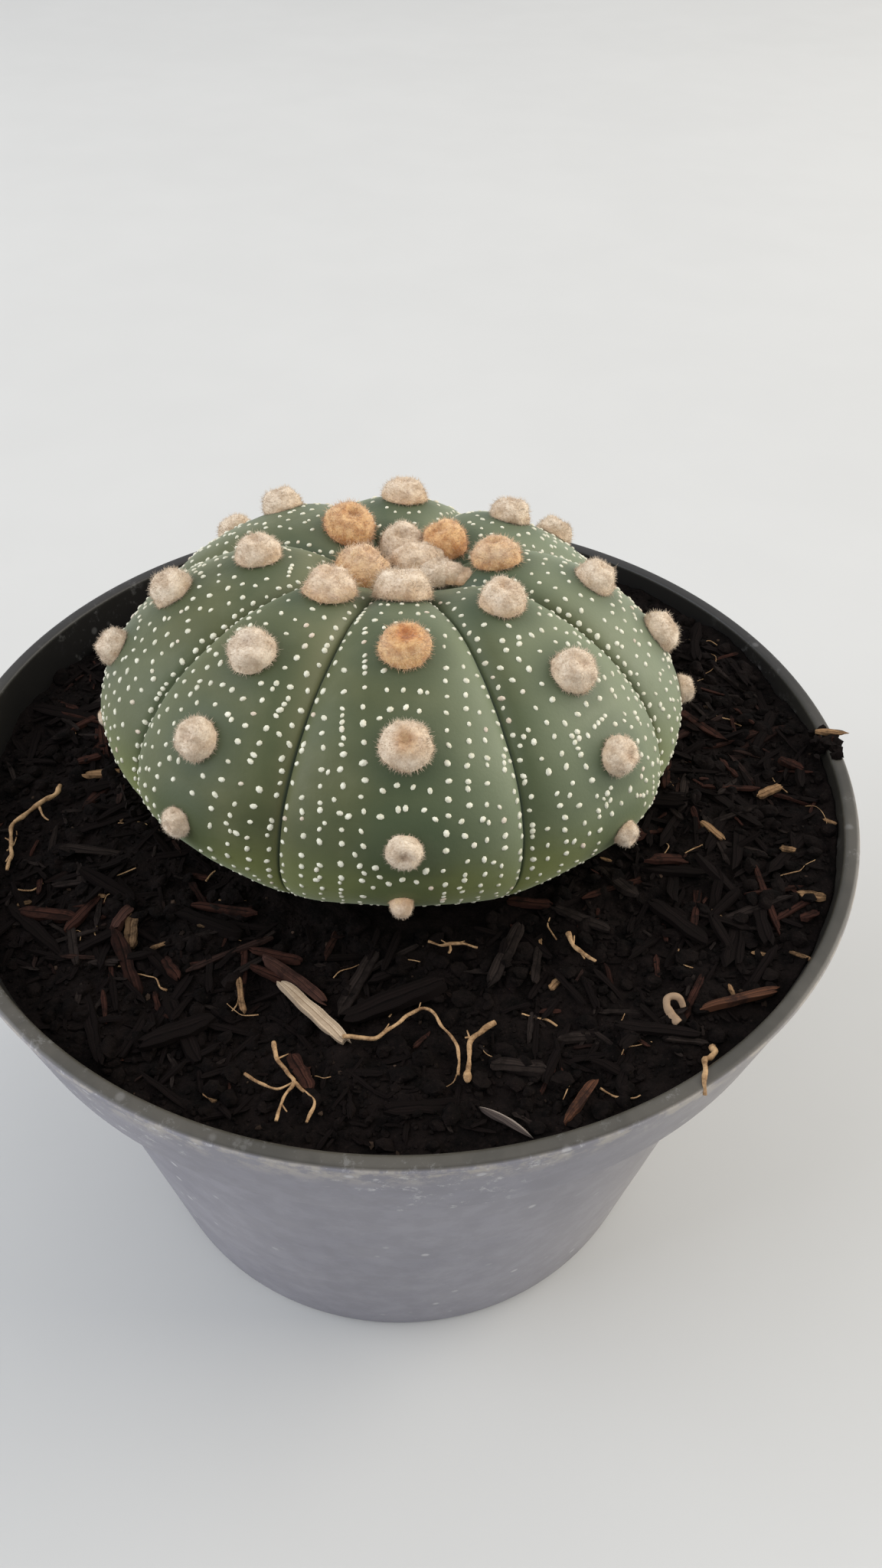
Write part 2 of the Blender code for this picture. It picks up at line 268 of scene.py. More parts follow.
def noiseOf(tree, point, scale, detail=3.0, roughness=0.55):
    inputs = {"Vector": point, "Scale": scale, "Detail": detail, "Roughness": roughness}
    return addNode(tree, "TexNoise", inputs).outputs["Fac"]


def rampOf(tree, value, low, high):
    # 0 below low and 1 above high
    inputs = {"Value": value, "From Min": low, "From Max": high}
    return addNode(tree, "MapRange", inputs, interpolation_type="SMOOTHSTEP").outputs["Result"]


def patchesOf(tree, point, scale, detail, low, high, roughness=0.55):
    return rampOf(tree, noiseOf(tree, point, scale, detail, roughness), low, high)


def rangeOf(tree, value, low, high):
    # 0 becomes low and 1 becomes high
    return addNode(tree, "MapRange", {"Value": value, "To Min": low, "To Max": high}).outputs["Result"]


def mathOf(tree, operation, first, second):
    return addNode(tree, "Math", {0: first, 1: second}, operation=operation).outputs[0]


def times(tree, first, second):
    return mathOf(tree, "MULTIPLY", first, second)


def inverse(tree, value):
    return mathOf(tree, "SUBTRACT", 1.0, value)


def mixOf(tree, share, first, second):
    return addNode(tree, "Mix", {0: share, 6: first, 7: second}, data_type="RGBA").outputs[2]


def coat(tree, base, mask, strength, shade):
    # lays a shade over the base where the mask is
    return mixOf(tree, times(tree, mask, strength), base, shade)


def valueOf(tree, name):
    return addNode(tree, "Attribute", {}, attribute_name=name).outputs["Fac"]


def placesOf(tree, point):
    return addNode(tree, "SeparateXYZ", {0: point}).outputs


def startGroup(name, inputs, outputs):
    # inputs and outputs give each socket's name and kind
    tree = bpy.data.node_groups.new(name, "ShaderNodeTree")
    for side, sockets in (("INPUT", inputs), ("OUTPUT", outputs)):
        for key, kind in sockets.items():
            tree.interface.new_socket(name=key, in_out=side, socket_type="NodeSocket" + kind)
    return tree, tree.nodes.new("NodeGroupInput").outputs, tree.nodes.new("NodeGroupOutput")


def bumpOf(tree, given, height):
    inputs = {"Strength": given["Strength"], "Distance": given["Distance"], "Height": height}
    return addNode(tree, "Bump", inputs).outputs["Normal"]


def useGroup(tree, group, inputs):
    return addNode(tree, "Group", inputs, node_tree=group).outputs


def makeMottle():
    # colour that wanders between two shades at two sizes
    sockets = {"Point": "Vector", "Scale": "Float", "Dark": "Color", "Light": "Color"}
    tree, given, result = startGroup("mottle", sockets, {"Color": "Color"})
    coarse = noiseOf(tree, given["Point"], given["Scale"], 4.0, 0.5)
    fine = noiseOf(tree, given["Point"], times(tree, given["Scale"], 5.3), 3.0, 0.5)
    share = rampOf(tree, mathOf(tree, "ADD", coarse, times(tree, fine, 0.5)), 0.5, 1.0)
    setInputs(tree, result, {"Color": mixOf(tree, share, given["Dark"], given["Light"])})
    return tree


def makeGrit():
    # a fine bump all over
    sockets = {"Point": "Vector", "Scale": "Float", "Strength": "Float", "Distance": "Float"}
    tree, given, result = startGroup("grit", sockets, {"Normal": "Vector"})
    height = noiseOf(tree, given["Point"], given["Scale"], 5.0, 0.5)
    setInputs(tree, result, {"Normal": bumpOf(tree, given, height)})
    return tree


def makeFibres():
    # streaks along a piece, from the place across it that each point keeps
    sockets = {"Across": "Float", "Scale": "Float", "Strength": "Float", "Distance": "Float"}
    tree, given, result = startGroup("fibres", sockets, {"Streak": "Float", "Normal": "Vector"})
    inputs = {"W": given["Across"], "Scale": given["Scale"], "Detail": 4.0}
    streaks = addNode(tree, "TexNoise", inputs, noise_dimensions="1D").outputs["Fac"]
    streak = rampOf(tree, streaks, 0.3, 0.7)
    setInputs(tree, result, {"Streak": streak, "Normal": bumpOf(tree, given, streaks)})
    return tree


mottle = makeMottle()
grit = makeGrit()
fibres = makeFibres()


def gritNormal(tree, point, scale, strength, distance):
    inputs = {"Point": point, "Scale": scale, "Strength": strength, "Distance": distance}
    return useGroup(tree, grit, inputs)["Normal"]


def mottled(tree, point, scale, dark, light):
    return useGroup(tree, mottle, {"Point": point, "Scale": scale, "Dark": dark, "Light": light})["Color"]


def fibresOf(tree, scale, strength):
    inputs = {"Across": valueOf(tree, "across"), "Scale": scale, "Strength": strength, "Distance": 0.1 * mm}
    return useGroup(tree, fibres, inputs)


def floorMaterial():
    material, tree, point = startMaterial("paleFloor", 0.75, 0.3)
    light = lightPlan["floorColour"]
    dark = tuple(part * 0.97 for part in light)
    return dressed(material, {"Base Color": mottled(tree, point, 6.0, dark, light)})


# cactus body

cactusShape = {
    "radius": 38.0 * mm,
    "dome": 23.8 * mm,
    "underside": 18.8 * mm,
    "aboveRim": 5.4 * mm,
    "offset": Vector((-1.2 * mm, 4.8 * mm, 0.0)),
    "lean": Vector((0.037, 0.131, 1.0)),
    "dipDepth": 7.1 * mm,
    "dipRadius": 10.6 * mm,
    "furrow": 2.8 * mm,
    "furrowFade": 3.0 * mm,
    "firstFurrow": -21.0,  # in degrees from the front
    "perRib": 48,
    "rings": 190,
    "swell": 0.45 * mm,  # how far the skin stands up around a tuft
    "swellReach": 4.6 * mm,
    # painted shade: the skin is darkened in a ring around each tuft
    "halo": (7.5 * mm, 3.0 * mm),  # where a tuft's dark ring starts and is full
    "unevenness": 0.30 * mm,
    "lowFlat": 1.6 * mm,  # how much the crests flatten towards the soil
    "lowFurrow": 0.42,  # how much shallower the furrows are there
    # painted light: skin that faces these two ways is painted paler, standing in for the light on those
    # flanks
    "sunward": Vector((0.90, 0.14, 0.41)),  # the sides that the light has made paler
    "lesserSun": Vector((-0.90, -0.05, 0.43)),
}

# each rib's name, width in degrees, first tuft's latitude and spacing
ribs = (
    ("front", 45.0, 76.8, 21.0),
    ("front_right", 42.0, 63.8, 20.8),
    ("right", 45.5, 71.1, 20.8),
    ("back_right", 45.5, 77.4, 20.0),
    ("back", 43.0, 80.0, 17.5),
    ("back_left", 54.0, 73.9, 23.0),
    ("left", 48.0, 81.2, 19.5),
    ("front_left", 37.0, 68.5, 21.3),
)
ribStarts = [cactusShape["firstFurrow"] + sum(rib[1] for rib in ribs[:index]) for index in range(len(ribs))]


def makeCactusFrame():
    # from the upright cactus, about its own axis, to its leaning place
    up = cactusShape["lean"].normalized()
    side = Vector((1.0, 0.0, 0.0))
    side = (side - up * side.dot(up)).normalized()
    turn = Matrix((side, up.cross(side), up)).transposed().to_4x4()
    return Matrix.Translation(cactusShape["offset"] + Vector((0.0, 0.0, rimHeight))) @ turn


cactusFrame = makeCactusFrame()


def creaseAt(across, sharpness=0.52):
    # 0 on a rib's crest, 1 in its furrow
    return 1.0 - (1.0 - min(1.0, abs(across)) ** 2.8) ** sharpness


def ribPlace(place):
    # azimuth of a place along the ribs, and how far across its rib it is
    index = int(math.floor(place)) % len(ribs)
    share = place - math.floor(place)
    return ribStarts[index] + ribs[index][1] * share, 2.0 * share - 1.0


def cactusPoint(latitude, place):
    shape = cactusShape
    azimuth, across = ribPlace(place)
    cosine = math.cos(latitude)
    sine = math.sin(latitude)
    tall = shape["dome"] if sine > 0.0 else shape["underside"]
    radius = shape["radius"] * cosine
    height = tall * sine - shape["dipDepth"] * math.exp(-((radius / shape["dipRadius"]) ** 2))
    inX = cosine / shape["radius"]
    inZ = sine / tall
    size = math.hypot(inX, inZ)
    low = smoothStep(math.radians(8.0), math.radians(-30.0), latitude)
    depth = shape["furrow"] * (1.0 - low * shape["lowFurrow"])
    inset = depth * creaseAt(across) * radius / (radius + shape["furrowFade"])
    inset += shape["lowFlat"] * low * (1.0 - across * across)
    reach = radius - inX / size * inset
    turn = math.radians(azimuth)
    height = shape["aboveRim"] + height - inZ / size * inset
    return Vector((math.sin(turn) * reach, -math.cos(turn) * reach, height))


# how far some tufts slide down their ribs, in degrees
tuftSlides = {"left_5": 8.0, "front_4": 2.5, "front_5": 4.0, "front_right_4": 2.6, "front_left_4": 0.8}


def slideOf(tuft):
    # the shift that takes a tuft that far down its rib
    if tuft not in tuftSlides:
        return Vector()
    rib, order = tuft.rsplit("_", 1)
    index = [entry[0] for entry in ribs].index(rib)
    latitude = ribs[index][2] - ribs[index][3] * (int(order) - 1)
    first = cactusFrame @ cactusPoint(math.radians(latitude), index + 0.5)
    return cactusFrame @ cactusPoint(math.radians(latitude - tuftSlides[tuft]), index + 0.5) - first


def tuftSeats():
    # where each tuft's solid stands: name, middle and size
    seats = []
    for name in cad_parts:
        if name.startswith("tuft_") or name == "crown_wool":
            low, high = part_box(name)
            tuft = name.replace("tuft_", "")
            nudge = Vector((*tuftNudges.get(tuft, (0.0, 0.0)), 0.0)) * mm
            seats.append((name, (low + high) / 2 + slideOf(tuft) + nudge, max(high - low) / 2))
    return sorted(seats)


def buildCactus():
    shape = cactusShape
    form = bmesh.new()
    around = shape["perRib"] * len(ribs)
    bmesh.ops.create_uvsphere(form, u_segments=around, v_segments=shape["rings"], radius=1.0)
    seats = tuftSeats()
    tree = kdtree.KDTree(len(seats))
    for index, seat in enumerate(seats):
        tree.insert(seat[1], index)
    tree.balance()
    furrowMark, tuftShadeMark, paintedLightMark = addMarks(form, "furrow", "halo", "pale")
    for vert in form.verts:
        latitude = math.asin(max(-1.0, min(1.0, vert.co.z)))
        turn = math.atan2(vert.co.x, -vert.co.y) / math.tau
        place = round((turn % 1.0) * around) / shape["perRib"]
        across = 2.0 * (place - math.floor(place)) - 1.0
        across = 0.5 * across + 0.5 * math.sin(math.pi / 2 * across)  # closer together in the furrows
        place = math.floor(place) + (across + 1.0) / 2
        vert.co = cactusFrame @ cactusPoint(latitude, place)
        # how deep in its furrow each point is; the skin reads it to paint shade in the furrows
        vert[furrowMark] = creaseAt(across, 0.25)
    form.normal_update()
    for vert in form.verts:
        near, index, gap = tree.find(vert.co)
        rise = math.exp(-((gap / shape["swellReach"]) ** 2))
        uneven = wobble(vert.co, 9.0 * mm) + 0.5 * wobble(vert.co, 4.0 * mm, 3.0)
        # painted shade around each tuft, strongest close to it
        vert[tuftShadeMark] = smoothStep(*shape["halo"], gap)
        # painted light: how far each point faces the lights, kept in the pale mark
        sunny = smoothStep(0.10, 0.90, vert.normal.dot(shape["sunward"]))
        lesser = smoothStep(0.30, 0.95, vert.normal.dot(shape["lesserSun"]))
        vert[paintedLightMark] = max(sunny, 0.30 * lesser)
        vert.co += vert.normal * (shape["swell"] * rise + shape["unevenness"] * uneven * 0.5)
    bmesh.ops.recalc_face_normals(form, faces=form.faces)
    return finishPiece("cactusBody", form, skinMaterial(), ("cactus_body",))


def bodyTree(body):
    return BVHTree.FromPolygons([v.co for v in body.data.vertices], [p.vertices for p in body.data.polygons])


# shades of the skin; those with a number in front are coats of that strength
skinShades = {
    "plain": ((0.052, 0.062, 0.018), (0.086, 0.093, 0.032)),
    "cool": (0.45, (0.056, 0.088, 0.044)),
    "young": (0.55, (0.066, 0.098, 0.066)),  # around the crown
    # partly the skin's own yellow-green base, partly painted light that lifts the shaded underside
    "low": (0.95, (0.400, 0.440, 0.145)),  # close to the soil
    "bloom": (0.26, (0.165, 0.176, 0.095)),
    # painted light on the flanks that face the lights, left and right
    "faded": ((0.215, 0.205, 0.098), (0.235, 0.275, 0.172)),  # left and right
    # painted shade around each tuft
    "halo": (0.50, (0.034, 0.056, 0.024)),
    # painted shade in the furrows
    "furrow": (0.90, (0.014, 0.030, 0.010)),
    "sheen": (0.85, 0.95, 0.75),
    "crown": (-1.2 * mm, 6.5 * mm, rimHeight + 24.0 * mm),  # where the young skin is
}


def skinMaterial():
    material, tree, point = startMaterial("sageSkin", 0.52, 0.36)
    shades = skinShades
    places = placesOf(tree, point)
    gap = addNode(tree, "VectorMath", {0: point, 1: shades["crown"]}, operation="DISTANCE").outputs["Value"]
    young = inverse(tree, rampOf(tree, gap, 8.0 * mm, 24.0 * mm))
    low = inverse(tree, rampOf(tree, places["Z"], rimHeight - 2.0 * mm, rimHeight + 15.0 * mm))
    faded = mixOf(tree, rampOf(tree, places["X"], -16.0 * mm, 12.0 * mm), *shades["faded"])
    base = mottled(tree, point, 55.0, *shades["plain"])
    base = coat(tree, base, patchesOf(tree, point, 34.0, 2.0, 0.42, 0.66), *shades["cool"])
    base = coat(tree, base, young, *shades["young"])
    # paler yellow-green near the soil: partly the skin's own colour, partly painted light against the shade
    # there
    base = coat(tree, base, low, *shades["low"])
    base = coat(tree, base, patchesOf(tree, point, 160.0, 5.0, 0.45, 0.75), *shades["bloom"])
    # painted light: the flanks that face the lights are painted paler
    base = coat(tree, base, valueOf(tree, "pale"), 0.64, faded)
    # painted shade on the skin around each tuft
    base = coat(tree, base, valueOf(tree, "halo"), *shades["halo"])
    # painted shade: the skin darkens deep in the furrows
    base = coat(tree, base, rampOf(tree, valueOf(tree, "furrow"), 0.50, 0.95), *shades["furrow"])
    return dressed(material, {
        "Base Color": base,
        "Roughness": rangeOf(tree, noiseOf(tree, point, 700.0), 0.46, 0.62),
        "Normal": gritNormal(tree, point, 2600.0, 0.22, 0.12 * mm),
        "Sheen Weight": 0.30,
        "Sheen Roughness": 0.35,
        "Sheen Tint": shades["sheen"],
    })


# white flecks on the skin

fleckPlan = {
    "size": 0.36 * mm,  # half the width of a full fleck
    "proud": 0.5,  # height over half width
    "topLatitude": 76.0,
    "bottomLatitude": -34.0,
    "edgeColumn": 0.85 * mm,  # first column, from the furrow
    "edgeRoom": 0.45 * mm,
    "columns": 6,
    "columnStep": 2.35 * mm,
    "alongStep": 1.70 * mm,
    "shake": 0.22,  # in mm
    "rings": (4.5 * mm, 6.8 * mm, 9.1 * mm, 11.4 * mm),
    "lineRoom": 1.20 * mm,  # least distance within the lines
    "fillRoom": 1.95 * mm,
    "fillTries": 500,
    "pairs": 0.09,
    "pairStep": 0.78 * mm,
    "tuftRoom": 3.5 * mm,
    "seed": 11,
    "shades": ((0.64, 0.62, 0.47), (0.88, 0.86, 0.72)),
    "pink": (0.5, (0.62, 0.42, 0.33)),
}


def crestTable(index):
    # latitude and distance along the crest from the top
    table = []
    distance = 0.0
    last = None
    for step in range(0, 241):
        latitude = math.radians(90.0 - step * 0.55)
        spot = cactusPoint(latitude, index + 0.5)
        if last is not None:
            distance += (spot - last).length
        table.append((distance, latitude))
        last = spot
    return table


def readTable(table, value, key, result):
    for before, after in zip(table, table[1:]):
        if (before[key] - value) * (after[key] - value) <= 0.0 and before[key] != after[key]:
            share = (value - before[key]) / (after[key] - before[key])
            return before[result] + (after[result] - before[result]) * share
    return table[-1][result]


def ribTufts(index):
    name, width, first, spacing = ribs[index]
    found = []
    while first - spacing * len(found) > -30.0:
        slide = tuftSlides.get("%s_%d" % (name, len(found) + 1), 0.0)
        found.append(math.radians(first - spacing * len(found) - slide))
    return found


def halfWidth(index, latitude):
    return cactusShape["radius"] * math.cos(latitude) * math.radians(ribs[index][1]) / 2


def archLine(tuft, ring, last):
    # up one side of a tuft, over it and down the other: place down the rib and across it
    line = [(blendTo(last, tuft, step / 24), -ring) for step in range(24)]
    for step in range(25):
        turn = math.pi * step / 24
        line.append((tuft - math.sin(turn) * ring, -math.cos(turn) * ring))
    return line + [(down, ring) for down, side in reversed(line[:24])]


def fleckPlaces(index, dice):
    # places on one rib, as distance down the crest and distance across
    table = crestTable(index)
    plan = fleckPlan
    tufts = [readTable(table, latitude, 1, 0) for latitude in ribTufts(index)]
    top = readTable(table, math.radians(plan["topLatitude"]), 1, 0)
    bottom = readTable(table, math.radians(plan["bottomLatitude"]), 1, 0)
    kept = []

    def offer(down, side, room):
        latitude = readTable(table, down, 0, 1)
        edge = halfWidth(index, latitude) - abs(side)
        if not top < down < bottom or edge < plan["edgeRoom"]:
            return
        if any(math.hypot(down - tuft, side) < plan["tuftRoom"] for tuft in tufts):
            return
        if any(math.hypot(down - old[0], side - old[1]) < room for old in kept):
            return
        kept.append((down, side, latitude))

    def walk(line, room):
        # flecks along a line, now and then two or more in touch
        wait = dice.uniform(0.0, 1.0) * plan["alongStep"]
        for first, last in zip(line, line[1:]):
            run = math.hypot(last[0] - first[0], last[1] - first[1])
            while wait <= run and run > 0.0:
                share = wait / run
                shake = [dice.uniform(-plan["shake"], plan["shake"]) * mm for way in range(2)]
                down = blendTo(first[0], last[0], share) + shake[0]
                side = blendTo(first[1], last[1], share) + shake[1]
                offer(down, side, room)
                if dice.random() < plan["pairs"]:
                    aheadStep = plan["pairStep"] / run
                    for more in range(1 if dice.random() < 0.85 else 3):
                        down += (last[0] - first[0]) * aheadStep
                        side += (last[1] - first[1]) * aheadStep
                        offer(down, side, plan["pairStep"] * 0.9)
                        wait += plan["pairStep"]
                wait += plan["alongStep"] * dice.uniform(0.76, 1.28)
            wait -= run

    def walkBoth(edge, room):
        # down both sides of the rib, at one distance from its furrows
        line = []
        for step in range(61):
            down = blendTo(top, bottom, step / 60)
            side = halfWidth(index, readTable(table, down, 0, 1)) - edge
            if side > 1.0 * mm:
                line.append((down, side))
        for sign in (-1.0, 1.0):
            walk([(down, side * sign) for down, side in line], room)

    walkBoth(plan["edgeColumn"], plan["lineRoom"])
    for ring in plan["rings"]:
        for tuft, last in zip(tufts, tufts[1:] + [bottom]):
            walk(archLine(tuft, ring, last), plan["lineRoom"] * 1.2)
    for number in range(1, plan["columns"] + 1):
        walkBoth(plan["edgeColumn"] + number * plan["columnStep"], plan["lineRoom"] * 1.25)
    for step in range(plan["fillTries"]):
        down = dice.uniform(top, bottom)
        side = dice.uniform(-1.0, 1.0) * halfWidth(index, readTable(table, down, 0, 1))
        offer(down, side, plan["fillRoom"])
    return kept


def fleckTemplates():
    templates = []
    for version in range(5):
        form = markedForm("tone")
        bmesh.ops.create_uvsphere(form, u_segments=7, v_segments=4, radius=1.0)
        for vert in form.verts:
            vert.co *= 1.0 + 0.22 * wobble(vert.co, 0.7, version * 5.0 + 1.0)
            vert.co.z *= fleckPlan["proud"]
        templates.append(form)
    return templates


def buildFlecks(body):
    dice = random.Random(fleckPlan["seed"])
    tree = bodyTree(body)
    templates = fleckTemplates()
    form = markedForm("tone")
    for index in range(len(ribs)):
        taken = []
        for down, side, latitude in fleckPlaces(index, dice):
            place = index + 0.5 + 0.5 * side / halfWidth(index, latitude)
            spot, normal, face, gap = tree.find_nearest(cactusFrame @ cactusPoint(latitude, place))
            if any((spot - other).length < fleckPlan["pairStep"] * 0.85 for other in taken):
                continue
            taken.append(spot)
            # smaller towards the soil and the crown
            size = fleckPlan["size"] * dice.uniform(0.78, 1.14)
            size *= blendTo(0.62, 1.0, smoothStep(math.radians(-32.0), math.radians(6.0), latitude))
            size *= blendTo(1.0, 0.8, smoothStep(math.radians(50.0), math.radians(74.0), latitude))
            stretch = (size * dice.uniform(1.0, 1.25), size * dice.uniform(0.8, 1.0), size)
            template = templates[dice.randrange(len(templates))]
            setTone(template, dice.random())
            appendForm(form, template, placing(spot, normal, dice.uniform(0.0, math.tau), stretch))
    return finishPiece("whiteFlecks", form, fleckMaterial())


def fleckMaterial():
    material, tree, point = startMaterial("whiteFleck", 0.9, 0.2)
    base = mottled(tree, point, 1800.0, *fleckPlan["shades"])
    base = coat(tree, base, rampOf(tree, valueOf(tree, "tone"), 0.90, 1.0), *fleckPlan["pink"])
    return dressed(material, {"Base Color": base, "Normal": gritNormal(tree, point, 6000.0, 0.6, 0.1 * mm)})


# wool tufts

tuftPlan = {
    "fibres": 1150,
    "fibreThickness": 0.011,  # in tuft radii
    "fibreLength": (0.09, 0.24),
    "dimple": 0.24,
    "dimpleReach": 0.30,
    "height": 1.02,
    "seat": 0.28,  # how far the cushion reaches down around its foot
    "warmFoot": 0.42,  # how much warmer the wool is at its foot
    "versions": 6,
    "seed": 5,
}

# how warm each tuft is all over and in its middle, how dark its pit is, its width and height
tuftLooks = {
    "front_1": (0.14, 0.00, 0.10, 1.34, 0.86),
    "front_2": (0.52, 1.05, 0.55, 1.04, 0.90),
    "front_3": (0.10, 0.55, 0.70, 1.00, 0.92),
    "front_4": (0.02, 0.02, 0.45, 0.96, 0.98),
    "front_5": (0.26, 0.05, 0.10, 1.00, 1.20),
    "front_left_1": (0.24, 0.10, 0.25, 1.08, 0.90),
    "front_left_2": (0.04, 0.03, 0.55, 1.00, 0.90),
    "left_1": (0.46, 0.10, 0.15, 1.26, 1.05),
    "back_left_1": (0.66, 0.25, 0.45, 1.16, 0.94),
    "back_1": (0.12, 0.05, 0.15, 1.32, 0.96),
    "back_right_1": (0.70, 0.30, 0.40, 1.40, 1.00),
    "right_1": (0.42, 0.35, 0.60, 1.10, 0.88),
    "front_right_1": (0.14, 0.15, 0.25, 1.02, 0.92),
    "back_2": (0.18, 0.08, 0.20, 1.04, 0.88),
    "left_2": (0.12, 0.10, 0.35, 1.02, 0.90),
    "left_5": (0.12, 0.10, 0.30, 0.60, 0.70),
}
usualLook = (0.08, 0.12, 0.40, 0.98, 0.96)

# small shifts of the crown's tufts, in mm
tuftNudges = {
    "left_1": (1.0, 0.2),
    "left_2": (0.4, 0.8),
    "left_3": (0.3, 0.5),
    "back_left_1": (1.2, 0.6),
    "back_left_2": (1.5, 0.8),
    "back_left_3": (2.0, 0.3),
    "front_left_1": (0.7, 0.3),
    "back_right_1": (-0.3, 0.2),
    "right_1": (-0.5, 0.4),
}

# the crown's wool is several cushions pressed together: shift in mm, size and warmth
crownLumps = (
    (-1.0, -1.2, 1.3, 2.20, 0.22),
    (1.4, -3.3, 0.8, 1.95, 0.06),
    (-2.8, -1.0, 0.9, 1.40, 0.20),
    (5.0, -4.2, 0.9, 1.25, 0.34),
    (0.8, 0.8, 1.2, 1.50, 0.16),
    (3.2, -3.9, 1.1, 1.50, 0.24),
)


def cushionPoint(spot):
    # a point of a unit sphere, moved onto a unit cushion with a dimpled top
    reach = min(1.0, math.hypot(spot.x, spot.y))
    if spot.z < 0.0:
        inward = 1.0 - 0.16 * -spot.z
        return Vector((spot.x * inward, spot.y * inward, spot.z * tuftPlan["seat"]))
    crown = (1.0 - reach ** 2.6) ** 0.5
    dent = tuftPlan["dimple"] * math.exp(-((reach / tuftPlan["dimpleReach"]) ** 2))
    return Vector((spot.x, spot.y, tuftPlan["height"] * crown - dent))


def cushionLump(spot, version):
    return 0.11 * wobble(spot, 0.60, version * 3.0) + 0.06 * wobble(spot, 0.20, version * 3.0)


def fibreForm():
    # a thin tapering hair of unit length that bends over
    form = bmesh.new()
    bmesh.ops.create_cone(form, cap_ends=False, segments=3, radius1=1.0, radius2=0.15, depth=1.0)
    bmesh.ops.translate(form, verts=form.verts, vec=(0.0, 0.0, 0.5))
    risers = [edge for edge in form.edges if abs(edge.verts[0].co.z - edge.verts[1].co.z) > 0.5]
    bmesh.ops.subdivide_edges(form, edges=risers, cuts=1, use_grid_fill=True)
    return form


def cushionVersion(version, dice):
    # one woolly cushion of unit radius; each point keeps how far up its hair it is
    form = bmesh.new()
    bmesh.ops.create_uvsphere(form, u_segments=32, v_segments=20, radius=1.0)
    for vert in form.verts:
        vert.co = cushionPoint(vert.co) * (1.0 + cushionLump(vert.co, version))
    addMarks(form, "tip")
    hair = fibreForm()
    (hairMark,) = addMarks(hair, "tip")
    for vert in hair.verts:
        vert[hairMark] = 0.25 + 0.75 * vert.co.z
    for count in range(tuftPlan["fibres"]):
        height = dice.uniform(-0.22, 1.0)
        turn = dice.uniform(0.0, math.tau)
        flat = math.sqrt(1.0 - height * height)
        ball = Vector((flat * math.cos(turn), flat * math.sin(turn), height))
        root = cushionPoint(ball)
        root *= 0.97 + cushionLump(ball, version)
        stray = Vector((dice.gauss(0, 1), dice.gauss(0, 1), dice.gauss(0, 1)))
        aim = (ball * 0.95 + stray * 0.42).normalized()
        length = dice.uniform(*tuftPlan["fibreLength"]) * (1.5 if dice.random() < 0.06 else 1.0)
        bend = dice.uniform(-0.5, 0.5)
        copy = hair.copy()
        for vert in copy.verts:
            up = vert.co.z
            vert.co.x = vert.co.x * tuftPlan["fibreThickness"] + bend * length * up * up
            vert.co.y = vert.co.y * tuftPlan["fibreThickness"]
            vert.co.z = up * length
        bmesh.ops.transform(copy, matrix=placing(root, aim, dice.uniform(0.0, math.tau)), verts=copy.verts)
        pourInto(form, copy)
    hair.free()
    return form


def dressCushion(form, look, matrix):
    allOver, centre, pit, wide, high = look
    warmMark, pitMark = addMarks(form, "warm", "pit")
    for vert in form.verts:
        reach = fromAxis(vert.co)
        foot = smoothStep(0.75, -0.1, vert.co.z)
        atFoot = tuftPlan["warmFoot"] * (0.45 + allOver) * foot
        vert[warmMark] = allOver + centre * math.exp(-((reach / 0.55) ** 2)) + atFoot
        vert[pitMark] = pit * math.exp(-((reach / 0.30) ** 2))
    size = Matrix.Diagonal((wide, wide, wide * high, 1.0))
    bmesh.ops.transform(form, matrix=matrix @ size, verts=form.verts)


def buildTufts(body):
    dice = random.Random(tuftPlan["seed"])
    tree = bodyTree(body)
    versions = [cushionVersion(number, dice) for number in range(tuftPlan["versions"])]
    wool = woolMaterial()
    for number, (name, middle, size) in enumerate(tuftSeats()):
        spot, normal, face, gap = tree.find_nearest(middle)
        turn = dice.uniform(0.0, math.tau)
        wide = size * dice.uniform(0.90, 1.0)
        if name == "crown_wool":
            form = crownForm(spot, size, versions)
        else:
            form = versions[number % len(versions)].copy()
            stand = placing(spot, (middle - spot).normalized(), turn, (size, wide, size))
            dressCushion(form, tuftLooks.get(name.replace("tuft_", ""), usualLook), stand)
        finishPiece(name.replace("tuft", "wool"), form, wool, (name,))


def crownForm(spot, size, versions):
    whole = bmesh.new()
    lean = Vector((0.1, 0.1, 1.0)).normalized()
    for number, (x, y, z, wide, warmth) in enumerate(crownLumps):
        part = versions[number % len(versions)].copy()
        place = placing(spot + Vector((x, y, z)) * mm, lean, number * 1.3, (size, size * 0.85, size))
        dressCushion(part, (warmth, 0.0, 0.12, wide, 0.80), place)
        pourInto(whole, part)
    return whole


woolShades = {
    "pale": ((0.53, 0.405, 0.285), (0.86, 0.735, 0.580)),
    "warm": ((0.50, 0.230, 0.080), (0.87, 0.56, 0.27)),
    "ripe": ((0.42, 0.120, 0.030), (0.74, 0.31, 0.10)),
    "tip": (0.40, (0.91, 0.80, 0.655)),
    "pit": (0.80, (0.20, 0.105, 0.055)),
    "sheen": (1.0, 0.90, 0.78),
}


def woolMaterial():
    material, tree, point = startMaterial("feltedWool", 0.95, 0.12)
    warmth = valueOf(tree, "warm")
    pale = mottled(tree, point, 700.0, *woolShades["pale"])
    warm = mottled(tree, point, 900.0, *woolShades["warm"])
    ripe = mottled(tree, point, 900.0, *woolShades["ripe"])
    base = mixOf(tree, rampOf(tree, warmth, 0.0, 0.9), pale, warm)
    base = mixOf(tree, rampOf(tree, warmth, 0.85, 1.5), base, ripe)
    base = coat(tree, base, valueOf(tree, "tip"), *woolShades["tip"])
    base = coat(tree, base, valueOf(tree, "pit"), *woolShades["pit"])
    return dressed(material, {
        "Base Color": base,
        "Normal": gritNormal(tree, point, 3500.0, 0.7, 0.2 * mm),
        "Sheen Weight": 0.35,
        "Sheen Roughness": 0.6,
        "Sheen Tint": woolShades["sheen"],
    })


# pot

